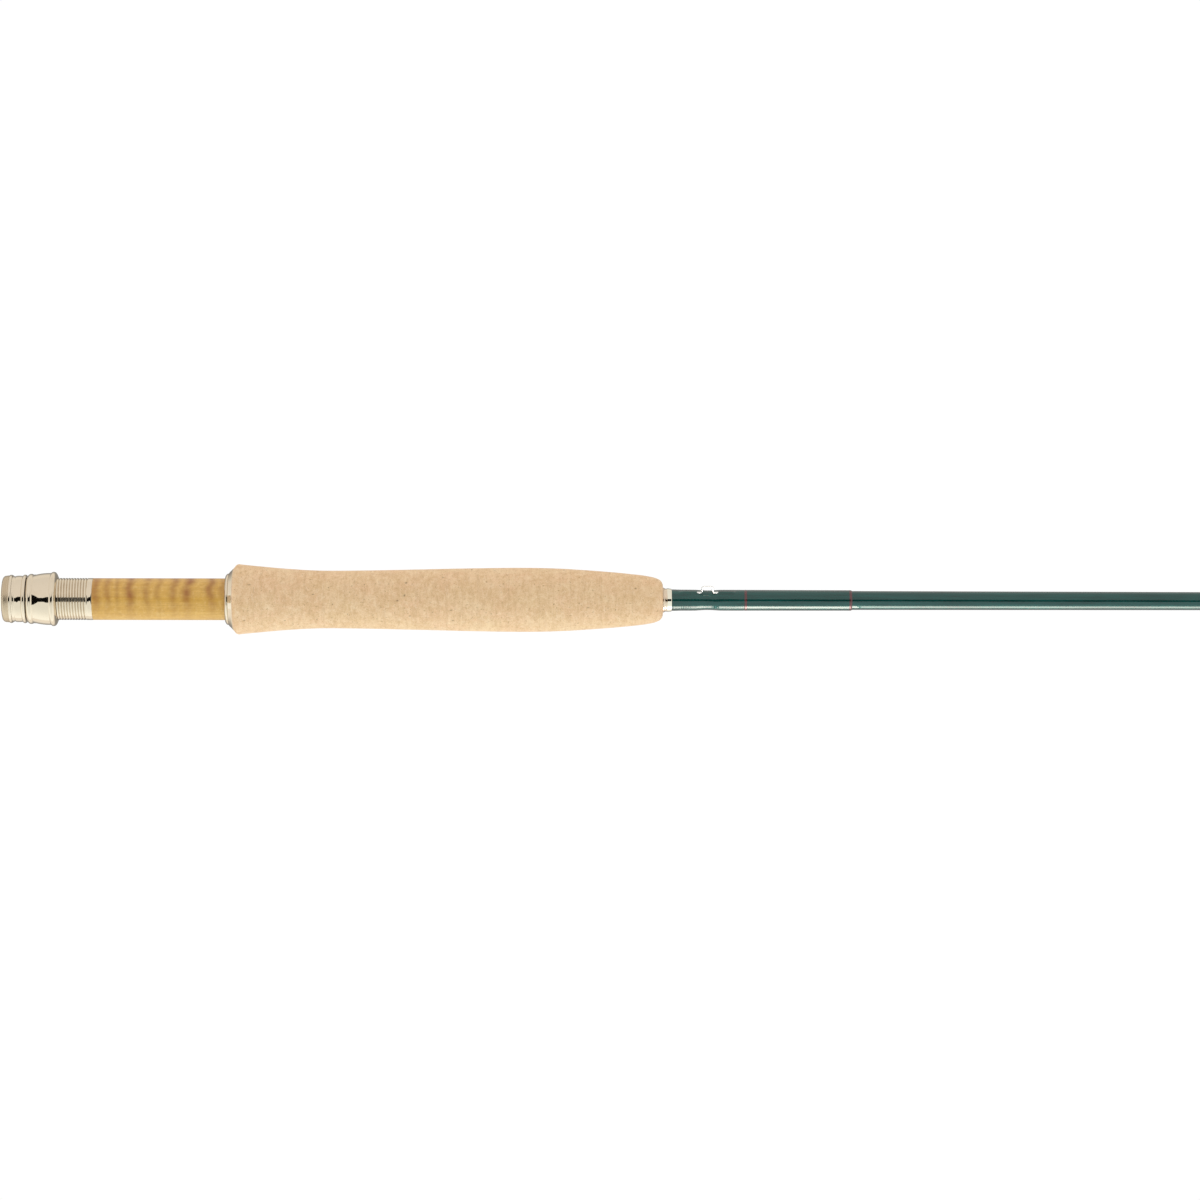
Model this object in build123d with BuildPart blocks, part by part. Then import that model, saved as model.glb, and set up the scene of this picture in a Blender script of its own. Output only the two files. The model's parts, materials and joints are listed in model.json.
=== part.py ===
from build123d import *
import math
import os

# Three-piece fly rod, assembled. Millimetres.
# Origin: centre of the butt cap's flat end face. +X runs along the rod to the tip,
# -Z is the side of the reel and the line guides, +Z is the plain side.
# Every turned piece is a half profile of (x, radius) points revolved about the X axis.

os.makedirs("parts", exist_ok=True)

# ---------------------------------------------------------------- driving dimensions
ROD_LENGTH = 2438.0  # 8 ft over all
GLUE = 0.05  # radial glue line between bonded pieces

# blank: outside diameter along the rod, and the lengths of its three sections
OD_AT_355 = 7.80
TAPER = 0.0024  # loss of diameter per millimetre as far as TAPER_BREAK
TAPER_BREAK = 500.0
TAPER_FRONT = 0.003214  # in front of it
BUTT_START = 4.2
BUTT_END = 846.0
MID_START = 791.0
MID_END = 1647.0
TIP_START = 1592.0
TIP_END = 2431.0
SLEEVE_WALL = 0.60  # wall of each female ferrule
FERRULE_GAP = 0.04  # radial clearance of the ferrule fit
MID_NECK = 862.0  # where the middle section's sleeve has blended into its taper
MID_NECK_OD = 6.86
MID_TIP_OD = 4.28
TIP_NECK = 1662.0
TIP_NECK_OD = 4.46
TIP_TIP_OD = 1.70

# reel seat
CAP_R = 9.80
CAP_LENGTH = 4.05
SPIGOT_R = 6.93
BARREL_START = 4.05
BARREL_END = 37.3
BARREL_BORE_R = 7.00
THREAD_MAJOR_R = 8.66
THREAD_MINOR_R = 8.36
THREAD_PITCH = 1.15  # 22 threads to the inch
THREAD_END = 35.20
NUT_BORE_R = 8.73
HOOD_BORE_R = 8.80
INSERT_R = 8.62
INSERT_START = 18.0
INSERT_END = 105.2
INSERT_BORE_R = 5.20
TENON_R = 6.95
SADDLE_START = 38.3  # start of the flat that the reel's foot lies on
SADDLE_Z = -6.60
POCKET_HALF_WIDTH = 7.0
POCKET_R = 11.2
CUP_R = 11.90
COLLAR_END = 95.20  # front edge of the collar, where the cork starts
CUP_END = 107.3

# grip: fourteen half-inch rings
RINGS = 14
RING_WIDTH = 12.7
GRIP_START = 94.85
CORK_START = 95.22  # the first ring is faced off behind the collar
GRIP_END = GRIP_START + RINGS * RING_WIDTH

# fittings in front of the grip
CHECK_START = GRIP_END + 0.05
CHECK_END = 276.30
KEEPER_X = 291.05
KEEPER_ANGLE = 43.5  # degrees from +Z towards +Y
KEEPER_WIRE_R = 0.42
WRAP_R = 4.30
COAT_START = 307.4
COAT_END = 349.6

# guides: places along the rod, inside radii and wire radii
STRIPPING_X = 745.0
STRIPPING_RING_R = 3.90
SNAKE_X = [975.0, 1218.0, 1453.0, 1703.0, 1893.0, 2063.0, 2208.0, 2330.0]
SNAKE_INNER_R = [3.30, 3.15, 3.00, 2.70, 2.55, 2.40, 2.25, 2.15]
SNAKE_WIRE_R = [0.50, 0.50, 0.47, 0.45, 0.43, 0.42, 0.40, 0.40]
SNAKE_HALF = [4.2, 4.0, 3.9, 3.6, 3.4, 3.2, 3.1, 3.0]
SNAKE_FOOT = 8.0
THREAD_BUILD = 0.22  # thickness of a thread wrapping with its varnish
TIP_RING_R = 2.10


def butt_r(x):
    """Outside radius of the butt section."""
    if x < TAPER_BREAK:
        return (OD_AT_355 - TAPER * (x - 355.0)) / 2
    return butt_r(TAPER_BREAK - 1e-6) - TAPER_FRONT * (x - TAPER_BREAK) / 2


def mid_r(x):
    """Outside radius of the middle section."""
    mouth = butt_r(MID_START) + FERRULE_GAP + SLEEVE_WALL
    if x < MID_NECK:
        return mouth + (MID_NECK_OD / 2 - mouth) * (x - MID_START) / (MID_NECK - MID_START)
    return (MID_NECK_OD + (MID_TIP_OD - MID_NECK_OD) * (x - MID_NECK) / (MID_END - MID_NECK)) / 2


def tip_r(x):
    """Outside radius of the tip section."""
    mouth = mid_r(TIP_START) + FERRULE_GAP + SLEEVE_WALL - 0.1
    if x < TIP_NECK:
        return mouth + (TIP_NECK_OD / 2 - mouth) * (x - TIP_START) / (TIP_NECK - TIP_START)
    return (TIP_NECK_OD + (TIP_TIP_OD - TIP_NECK_OD) * (x - TIP_NECK) / (TIP_END - TIP_NECK)) / 2


# ---------------------------------------------------------------- reel seat
# butt cap: rounded end, a raised bead, and a hollow spigot glued into the barrel
with BuildPart() as butt_cap:
    with BuildSketch():
        with BuildLine():
            Line((0, 0), (0, 8.15))
            ThreePointArc((0, 8.15), (0.32, 9.10), (1.15, 9.55))
            Line((1.15, 9.55), (2.70, 9.72))
            ThreePointArc((2.70, 9.72), (3.42, 9.99), (3.98, 9.76))
            Polyline(
                (3.98, 9.76),
                (CAP_LENGTH, 9.70),
                (CAP_LENGTH, SPIGOT_R),
                (12.6, SPIGOT_R),
                (13.0, SPIGOT_R - 0.4),
                (13.0, 4.60),
                (3.40, 4.60),
                (3.40, 0),
                (0, 0),
            )
        make_face()
    revolve(axis=Axis.X)
butt_cap.part.label = "butt_cap"
export_step(butt_cap.part, "parts/butt_cap.step")

# threaded barrel: a tube with the seat's screw thread on it. The thread is drawn as
# parallel grooves at the thread's true pitch, depth and flank angle.
barrel_outline = [
    (BARREL_START, BARREL_BORE_R),
    (BARREL_START, THREAD_MAJOR_R - 0.30),
    (BARREL_START + 0.30, THREAD_MAJOR_R),
]
groove_count = int((THREAD_END - BARREL_START - 0.9) / THREAD_PITCH)
for i in range(groove_count, 0, -1):
    x = THREAD_END - THREAD_PITCH * (i - 0.5)
    barrel_outline += [
        (x - 0.24 * THREAD_PITCH, THREAD_MAJOR_R),
        (x - 0.12 * THREAD_PITCH, THREAD_MINOR_R),
        (x + 0.12 * THREAD_PITCH, THREAD_MINOR_R),
        (x + 0.24 * THREAD_PITCH, THREAD_MAJOR_R),
    ]
barrel_outline += [
    (BARREL_END - 0.12, THREAD_MAJOR_R),
    (BARREL_END, THREAD_MAJOR_R - 0.12),
    (BARREL_END, BARREL_BORE_R),
]
with BuildPart() as thread_barrel:
    with BuildSketch():
        with BuildLine():
            Polyline(*barrel_outline, close=True)
        make_face()
    revolve(axis=Axis.X)
thread_barrel.part.label = "thread_barrel"
export_step(thread_barrel.part, "parts/thread_barrel.step")

# wood insert: tenon in the barrel, round body, flat saddle for the reel's foot
with BuildPart() as seat_insert:
    with BuildSketch():
        with BuildLine():
            Polyline(
                (INSERT_START, INSERT_BORE_R),
                (INSERT_START, TENON_R),
                (BARREL_END, TENON_R),
                (BARREL_END, INSERT_R),
                (INSERT_END, INSERT_R),
                (INSERT_END, INSERT_BORE_R),
                close=True,
            )
        make_face()
    revolve(axis=Axis.X)
    with BuildSketch(Plane.XY.offset(SADDLE_Z)):
        with Locations(((SADDLE_START + INSERT_END + 5) / 2, 0)):
            Rectangle(INSERT_END + 5 - SADDLE_START, 2 * INSERT_R + 2)
    extrude(amount=-5, mode=Mode.SUBTRACT)
seat_insert.part.label = "seat_insert"
export_step(seat_insert.part, "parts/seat_insert.step")

# fixed hood: turned collar with a bead and a flare, and a cup let into the cork.
# The cup's pocket on the reel side takes the front end of the reel's foot.
with BuildPart() as fixed_hood:
    with BuildSketch():
        with BuildLine():
            Polyline(
                (91.95, HOOD_BORE_R),
                (91.95, 9.60),
                (92.10, 9.95),
                (92.42, 10.33),
                (92.75, 10.55),
                (93.02, 10.62),
                (93.18, 10.58),
                (93.28, 10.46),
                (93.36, 10.62),
                (93.46, 11.02),
                (94.96, 12.54),
                (95.10, 12.67),
                (COLLAR_END, 12.66),
                (COLLAR_END, CUP_R),
                (CUP_END - 0.5, CUP_R),
                (CUP_END, CUP_R - 0.5),
                (CUP_END, 4.70),
                (INSERT_END + 0.1, 4.70),
                (INSERT_END + 0.1, HOOD_BORE_R),
                close=True,
            )
        make_face()
    revolve(axis=Axis.X)
    with BuildSketch(Plane.YZ.offset(91.0)):
        Circle(POCKET_R)
        with Locations((0, -POCKET_R)):
            Rectangle(2 * POCKET_HALF_WIDTH, 2 * POCKET_R, mode=Mode.INTERSECT)
    extrude(amount=INSERT_END + 0.1 - 91.0, mode=Mode.SUBTRACT)
    # the collar's wall is kept outside the pocket, so the mouth is closed all round
    with BuildSketch(Plane.YZ.offset(92.4)):
        Circle(CUP_R - 0.05)
        Circle(POCKET_R, mode=Mode.SUBTRACT)
        with Locations((0, -10.0)):
            Rectangle(2 * POCKET_HALF_WIDTH + 2.8, 12.0, mode=Mode.INTERSECT)
    extrude(amount=3.0)
fixed_hood.part.label = "fixed_hood"
export_step(fixed_hood.part, "parts/fixed_hood.step")

# arbors: bushings that centre the tapered blank in the insert's bore
for name, x0, x1 in (("seat_arbor_rear", 19.0, 33.0), ("seat_arbor_front", 76.0, 94.0)):
    with BuildPart() as arbor:
        with BuildSketch():
            with BuildLine():
                Polyline(
                    (x0, butt_r(x0) + GLUE),
                    (x0, INSERT_BORE_R - GLUE),
                    (x1, INSERT_BORE_R - GLUE),
                    (x1, butt_r(x1) + GLUE),
                    close=True,
                )
            make_face()
        revolve(axis=Axis.X)
    arbor.part.label = name
    export_step(arbor.part, f"parts/{name}.step")

# sliding hood: turned outside, eased out on the reel side over the pocket for the foot
with BuildPart() as sliding_hood:
    with BuildSketch():
        with BuildLine():
            Line((10.35, HOOD_BORE_R), (10.35, 9.74))
            Polyline((10.35, 9.74), (10.65, 10.0))
            ThreePointArc((10.65, 10.0), (11.65, 10.38), (12.75, 9.86))
            ThreePointArc((12.75, 9.86), (15.6, 10.45), (19.85, 10.74))
            ThreePointArc((19.85, 10.74), (21.05, 11.22), (21.85, 10.80))
            Polyline(
                (21.85, 10.80),
                (22.10, 10.45),
                (22.30, 10.00),
                (22.52, 9.50),
                (22.60, 9.10),
                (22.60, HOOD_BORE_R),
                (10.35, HOOD_BORE_R),
            )
        make_face()
    revolve(axis=Axis.X)
    with BuildSketch(Plane.YZ.offset(12.6)):
        with Locations((0, -2.3)):
            Circle(10.1)
    extrude(amount=9.15)
    with BuildSketch(Plane.YZ.offset(14.4)):
        Circle(POCKET_R)
        with Locations((0, -POCKET_R)):
            Rectangle(2 * POCKET_HALF_WIDTH, 2 * POCKET_R, mode=Mode.INTERSECT)
    extrude(amount=10, mode=Mode.SUBTRACT)
    with BuildSketch(Plane.YZ.offset(9.0)):
        Circle(HOOD_BORE_R)
    extrude(amount=15, mode=Mode.SUBTRACT)
sliding_hood.part.label = "sliding_hood"
export_step(sliding_hood.part, "parts/sliding_hood.step")

# lock nut: waisted body, turned in behind the cap, with a raised bead at its front edge. Its bore runs on the
# crests of the barrel's thread.
with BuildPart() as lock_nut:
    with BuildSketch():
        with BuildLine():
            Polyline((4.10, NUT_BORE_R + 0.25), (4.10, 9.60), (4.16, 9.68))
            ThreePointArc((4.16, 9.68), (4.80, 9.35), (5.50, 9.52))
            ThreePointArc((5.50, 9.52), (6.60, 9.60), (8.20, 9.46))
            ThreePointArc((8.20, 9.46), (9.22, 10.03), (9.72, 9.78))
            Polyline(
                (9.72, 9.78),
                (9.80, 9.58),
                (9.80, NUT_BORE_R + 0.25),
                (9.55, NUT_BORE_R),
                (4.35, NUT_BORE_R),
                (4.10, NUT_BORE_R + 0.25),
            )
        make_face()
    revolve(axis=Axis.X)
lock_nut.part.label = "lock_nut"
export_step(lock_nut.part, "parts/lock_nut.step")

# ---------------------------------------------------------------- grip
# the turned outline of the whole grip; each cork ring is one slice of it
GRIP_OUTLINE = [
    (98.2, 14.40),
    (104.0, 13.84),
    (112.0, 13.09),
    (121.0, 12.41),
    (131.0, 11.94),
    (141.0, 11.92),
    (152.0, 12.06),
    (164.0, 12.32),
    (176.0, 12.57),
    (189.0, 12.89),
    (202.0, 13.12),
    (214.0, 13.23),
    (224.0, 13.12),
    (234.0, 12.73),
    (244.0, 12.07),
    (254.0, 11.29),
    (262.0, 10.48),
    (267.0, 9.74),
]
for i in range(RINGS):
    x0 = GRIP_START + i * RING_WIDTH
    x1 = x0 + RING_WIDTH
    with BuildPart() as cork_ring:
        with BuildSketch():
            with BuildLine():
                Line((CORK_START, 0), (CORK_START, 12.72))
                Line((CORK_START, 12.72), (96.10, 13.84))
                ThreePointArc((96.10, 13.84), (96.90, 14.41), (98.2, 14.40))
                Spline(*GRIP_OUTLINE, tangents=[(1, -0.10), (1, -0.22)])
                ThreePointArc((267.0, 9.74), (269.3, 9.24), (271.1, 8.50))
                ThreePointArc((271.1, 8.50), (272.15, 7.45), (GRIP_END, 5.90))
                Polyline((GRIP_END, 5.90), (GRIP_END, 0), (CORK_START, 0))
            make_face()
            with Locations(((x0 + x1) / 2, 10)):
                Rectangle(RING_WIDTH, 30, mode=Mode.INTERSECT)
            with BuildLine():
                Polyline(
                    (x0 - 1, -1),
                    (x0 - 1, butt_r(x0 - 1) + GLUE),
                    (x1 + 1, butt_r(x1 + 1) + GLUE),
                    (x1 + 1, -1),
                    close=True,
                )
            make_face(mode=Mode.SUBTRACT)
            if i == 0:
                with Locations(((x0 + x1) / 2, 0)):
                    Rectangle(RING_WIDTH + 2, 2 * (CUP_R + GLUE), mode=Mode.SUBTRACT)
        revolve(axis=Axis.X)
    cork_ring.part.label = f"cork_ring_{i + 1:02d}"
    export_step(cork_ring.part, f"parts/cork_ring_{i + 1:02d}.step")

# winding check: small metal collar against the cork, with a flange, a hollow neck and a sleeve
with BuildPart() as winding_check:
    with BuildSketch():
        with BuildLine():
            Polyline(
                (CHECK_START, butt_r(CHECK_START) + GLUE),
                (CHECK_START, 5.02),
                (CHECK_START + 0.12, 5.14),
                (CHECK_START + 0.38, 5.12),
                (CHECK_START + 0.50, 4.98),
            )
            ThreePointArc(
                (CHECK_START + 0.50, 4.98), (CHECK_START + 1.05, 4.74), (CHECK_START + 1.75, 4.86)
            )
            Polyline(
                (CHECK_START + 1.75, 4.86),
                (CHECK_START + 1.95, 4.88),
                (CHECK_END - 0.60, 4.74),
                (CHECK_END - 0.20, 4.66),
                (CHECK_END, 4.50),
                (CHECK_END, butt_r(CHECK_END) + GLUE),
                (CHECK_START, butt_r(CHECK_START) + GLUE),
            )
        make_face()
    revolve(axis=Axis.X)
winding_check.part.label = "winding_check"
export_step(winding_check.part, "parts/winding_check.step")

# ---------------------------------------------------------------- blank
# butt section: long tapered tube from inside the butt cap to the first ferrule
with BuildPart() as butt_blank:
    with BuildSketch():
        with BuildLine():
            Polyline(
                (BUTT_START, butt_r(BUTT_START)),
                (TAPER_BREAK, butt_r(TAPER_BREAK)),
                (BUTT_END - 0.3, butt_r(BUTT_END)),
                (BUTT_END, butt_r(BUTT_END) - 0.3),
                (BUTT_END, butt_r(BUTT_END) - 0.85),
                (BUTT_START, butt_r(BUTT_START) - 0.95),
                close=True,
            )
        make_face()
    revolve(axis=Axis.X)
butt_blank.part.label = "butt_blank"
export_step(butt_blank.part, "parts/butt_blank.step")

# middle section: its large end is a sleeve that fits over the butt section's end
with BuildPart() as mid_blank:
    with BuildSketch():
        with BuildLine():
            Polyline(
                (MID_START, mid_r(MID_START) - 0.1),
                (MID_START + 0.1, mid_r(MID_START)),
                (MID_NECK, mid_r(MID_NECK)),
                (MID_END - 0.25, mid_r(MID_END)),
                (MID_END, mid_r(MID_END) - 0.25),
                (MID_END, mid_r(MID_END) - 0.70),
                (MID_NECK + 2, mid_r(MID_NECK) - 0.75),
                (BUTT_END + 2.0, butt_r(BUTT_END) - 0.55),
                (BUTT_END + 1.0, butt_r(BUTT_END) + FERRULE_GAP),
                (MID_START, butt_r(MID_START) + FERRULE_GAP),
                close=True,
            )
        make_face()
    revolve(axis=Axis.X)
mid_blank.part.label = "mid_blank"
export_step(mid_blank.part, "parts/mid_blank.step")

# tip section, with its own sleeve; the last stretch is solid
with BuildPart() as tip_blank:
    with BuildSketch():
        with BuildLine():
            Polyline(
                (TIP_START, tip_r(TIP_START) - 0.1),
                (TIP_START + 0.1, tip_r(TIP_START)),
                (TIP_NECK, tip_r(TIP_NECK)),
                (TIP_END, tip_r(TIP_END)),
                (TIP_END, 0),
                (TIP_END - 60, 0),
                (TIP_END - 60, 0.35),
                (TIP_NECK + 2, tip_r(TIP_NECK) - 0.62),
                (MID_END + 2.0, mid_r(MID_END) - 0.45),
                (MID_END + 1.0, mid_r(MID_END) + FERRULE_GAP),
                (TIP_START, mid_r(TIP_START) + FERRULE_GAP),
                close=True,
            )
        make_face()
    revolve(axis=Axis.X)
tip_blank.part.label = "tip_blank"
export_step(tip_blank.part, "parts/tip_blank.step")

# thread wrappings that reinforce the mouths of the two sleeves
for name, x0, r in (
    ("ferrule_wrap_mid", MID_START + 1.5, mid_r),
    ("ferrule_wrap_tip", TIP_START + 1.5, tip_r),
):
    with BuildPart() as ferrule_wrap:
        with BuildSketch():
            with BuildLine():
                Polyline(
                    (x0, r(x0) + 0.02),
                    (x0 + 0.5, r(x0) + THREAD_BUILD + 0.02),
                    (x0 + 15.5, r(x0 + 16) + THREAD_BUILD + 0.02),
                    (x0 + 16.0, r(x0 + 16) + 0.02),
                    close=True,
                )
            make_face()
        revolve(axis=Axis.X)
    ferrule_wrap.part.label = name
    export_step(ferrule_wrap.part, f"parts/{name}.step")

# ---------------------------------------------------------------- hook keeper
# bent wire loop; its two feet lie along the blank under the wrappings
keeper_dir = Vector(
    0, math.sin(math.radians(KEEPER_ANGLE)), math.cos(math.radians(KEEPER_ANGLE))
)
keeper_plane = Plane(
    origin=(KEEPER_X, 0, 0),
    x_dir=(1, 0, 0),
    z_dir=Vector(1, 0, 0).cross(keeper_dir),
)
keeper_h = butt_r(KEEPER_X) + KEEPER_WIRE_R + 0.06
with BuildPart() as hook_keeper:
    with BuildLine(keeper_plane) as keeper_path:
        FilletPolyline(
            (-9.6, keeper_h),
            (-2.36, keeper_h),
            (-2.05, keeper_h + 3.50),
            (2.05, keeper_h + 3.50),
            (2.36, keeper_h),
            (9.6, keeper_h),
            radius=0.80,
        )
    with BuildSketch(Plane(keeper_path.line @ 0, z_dir=keeper_path.line % 0)):
        Circle(KEEPER_WIRE_R)
    sweep()
hook_keeper.part.label = "hook_keeper"
export_step(hook_keeper.part, "parts/hook_keeper.step")

# the wrappings over the keeper's feet, each with the ridge that the foot makes. Their
# varnish thins out to a film that meets in the middle of the keeper.
REAR_WRAP = [
    (CHECK_END + 0.1, 4.44),
    (277.5, 4.42),
    (279.0, 4.37),
    (280.2, 4.34),
    (284.6, 4.33),
    (286.6, 4.28),
    (287.8, 4.19),
    (288.9, 4.11),
    (290.0, 4.06),
    (291.00, 4.05),
]
FRONT_WRAP = [
    (291.10, 4.05),
    (292.4, 4.06),
    (293.4, 4.09),
    (294.3, 4.16),
    (295.3, 4.24),
    (296.5, 4.29),
    (298.0, WRAP_R),
    (305.6, WRAP_R),
    (306.3, 4.26),
]
for name, outline, ridge0, ridge1, foot0, foot1 in (
    ("keeper_wrap_rear", REAR_WRAP, KEEPER_X - 10.6, 287.1, KEEPER_X - 9.7, 289.5),
    ("keeper_wrap_front", FRONT_WRAP, 295.0, KEEPER_X + 10.6, 292.6, KEEPER_X + 9.7),
):
    x0, x1 = outline[0][0], outline[-1][0]
    with BuildPart() as keeper_wrap:
        with BuildSketch():
            with BuildLine():
                Line((x0, 0), outline[0])
                Spline(*outline)
                Polyline(outline[-1], (x1, 0), (x0, 0))
            make_face()
        revolve(axis=Axis.X)
        with BuildSketch(
            Plane(
                origin=Vector(ridge0, 0, 0) + keeper_dir * (keeper_h - 0.2),
                z_dir=(1, 0, 0),
            )
        ):
            Circle(KEEPER_WIRE_R + 0.36)
        extrude(amount=ridge1 - ridge0)
        with BuildSketch(
            Plane(origin=Vector(foot0, 0, 0) + keeper_dir * keeper_h, z_dir=(1, 0, 0))
        ):
            Circle(KEEPER_WIRE_R + 0.03)
        extrude(amount=foot1 - foot0, mode=Mode.SUBTRACT)
        with BuildSketch():
            with BuildLine():
                Polyline(
                    (x0 - 1, 0),
                    (x0 - 1, butt_r(x0 - 1) + 0.02),
                    (x1 + 1, butt_r(x1 + 1) + 0.02),
                    (x1 + 1, 0),
                    close=True,
                )
            make_face()
        revolve(axis=Axis.X, mode=Mode.SUBTRACT)
    keeper_wrap.part.label = name
    export_step(keeper_wrap.part, f"parts/{name}.step")

# clear varnished zone in front of the keeper, closed by a narrow band at each end
with BuildPart() as inscription_coat:
    with BuildSketch():
        with BuildLine():
            Polyline(
                (COAT_START, butt_r(COAT_START) + 0.02),
                (COAT_START, 4.29),
                (COAT_END, 4.22),
                (COAT_END, butt_r(COAT_END) + 0.02),
                close=True,
            )
        make_face()
    revolve(axis=Axis.X)
inscription_coat.part.label = "inscription_coat"
export_step(inscription_coat.part, "parts/inscription_coat.step")

with BuildPart() as trim_bands:
    with BuildSketch():
        with BuildLine():
            Polyline(
                (306.35, butt_r(306.35) + 0.02),
                (306.35, 4.26),
                (306.6, 4.32),
                (COAT_START - 0.05, 4.31),
                (COAT_START - 0.05, butt_r(COAT_START) + 0.02),
                close=True,
            )
        make_face()
        with BuildLine():
            Polyline(
                (COAT_END + 0.05, butt_r(COAT_END) + 0.02),
                (COAT_END + 0.05, 4.26),
                (350.3, 4.22),
                (350.75, 4.02),
                (350.75, butt_r(350.75) + 0.02),
                close=True,
            )
        make_face()
    revolve(axis=Axis.X)
trim_bands.part.label = "trim_bands"
export_step(trim_bands.part, "parts/trim_bands.step")

# ---------------------------------------------------------------- stripping guide
# wire frame with a round band that holds a ceramic ring, and a flat foot at each end
strip_foot_z = -(butt_r(STRIPPING_X - 20) + 0.05)
strip_zc = strip_foot_z - 8.6
with BuildPart() as stripping_frame:
    with BuildSketch(Plane.YZ.offset(STRIPPING_X - 0.9)):
        with Locations((0, strip_zc)):
            Circle(STRIPPING_RING_R + 1.75)
            Circle(STRIPPING_RING_R + 1.05, mode=Mode.SUBTRACT)
    extrude(amount=1.8)
    for sx in (-1, 1):
        for sy in (-1, 1):
            with BuildLine() as leg_path:
                FilletPolyline(
                    (STRIPPING_X, sy * 4.55, strip_zc + 2.70),
                    (STRIPPING_X + sx * 3.4, sy * 3.35, strip_zc + 5.10),
                    (STRIPPING_X + sx * 9.8, sy * 0.62, strip_foot_z - 0.52),
                    (STRIPPING_X + sx * 12.6, sy * 0.42, strip_foot_z - 0.44),
                    radius=1.6,
                )
            with BuildSketch(Plane(leg_path.line @ 0, z_dir=leg_path.line % 0)):
                Circle(0.45)
            sweep()
        with BuildSketch(Plane.XY.offset(strip_foot_z)):
            with Locations((STRIPPING_X + sx * 15.2, 0)):
                SlotOverall(10.4, 1.9)
        extrude(amount=-0.55)
stripping_frame.part.label = "stripping_frame"
export_step(stripping_frame.part, "parts/stripping_frame.step")

with BuildPart() as stripping_ring:
    with BuildSketch(Plane.XZ):
        with BuildLine():
            zc = strip_zc
            r = STRIPPING_RING_R
            Polyline(
                (STRIPPING_X - 0.75, zc + r + 1.01),
                (STRIPPING_X - 1.15, zc + r + 0.62),
                (STRIPPING_X - 0.50, zc + r),
                (STRIPPING_X + 0.50, zc + r),
                (STRIPPING_X + 1.15, zc + r + 0.62),
                (STRIPPING_X + 0.75, zc + r + 1.01),
                close=True,
            )
        make_face()
    revolve(axis=Axis((STRIPPING_X, 0, strip_zc), (1, 0, 0)))
stripping_ring.part.label = "stripping_ring"
export_step(stripping_ring.part, "parts/stripping_ring.step")

with BuildPart() as stripping_wraps:
    for sx in (-1, 1):
        x0 = STRIPPING_X + min(sx * 12.4, sx * 22.6)
        x1 = STRIPPING_X + max(sx * 12.4, sx * 22.6)
        foot_start = STRIPPING_X + sx * 15.2 - 5.25
        with BuildSketch():
            with BuildLine():
                Polyline(
                    (x0, 0),
                    (x0, butt_r(x0) + 0.10),
                    (x0 + 0.5, butt_r(x0) + THREAD_BUILD + 0.02),
                    (x1 - 0.5, butt_r(x1) + THREAD_BUILD + 0.02),
                    (x1, butt_r(x1) + 0.10),
                    (x1, 0),
                    close=True,
                )
            make_face()
        revolve(axis=Axis.X)
        with BuildSketch(Plane.YZ.offset(x0 + 0.2)):
            with Locations((0, strip_foot_z - 0.10)):
                Ellipse(1.75, 0.85)
        extrude(amount=x1 - x0 - 0.4)
    for sx in (-1, 1):
        x0 = STRIPPING_X + min(sx * 12.4, sx * 22.6)
        x1 = STRIPPING_X + max(sx * 12.4, sx * 22.6)
        with BuildSketch(Plane.XY.offset(strip_foot_z + 0.03)):
            with Locations((STRIPPING_X + sx * 15.2, 0)):
                SlotOverall(10.5, 2.0)
        extrude(amount=-0.63, mode=Mode.SUBTRACT)
        for sy in (-1, 1):
            with BuildSketch(
                Plane(
                    origin=(STRIPPING_X + sx * 9.8, sy * 0.62, strip_foot_z - 0.52),
                    z_dir=(sx * 2.8, -sy * 0.20, 0.08),
                )
            ):
                Circle(0.55)
            extrude(amount=3.0, mode=Mode.SUBTRACT)
    with BuildSketch():
        with BuildLine():
            Polyline(
                (STRIPPING_X - 25, 0),
                (STRIPPING_X - 25, butt_r(STRIPPING_X - 25) + 0.02),
                (STRIPPING_X + 25, butt_r(STRIPPING_X + 25) + 0.02),
                (STRIPPING_X + 25, 0),
                close=True,
            )
        make_face()
    revolve(axis=Axis.X, mode=Mode.SUBTRACT)
stripping_wraps.part.label = "stripping_wraps"
export_step(stripping_wraps.part, "parts/stripping_wraps.step")

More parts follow.
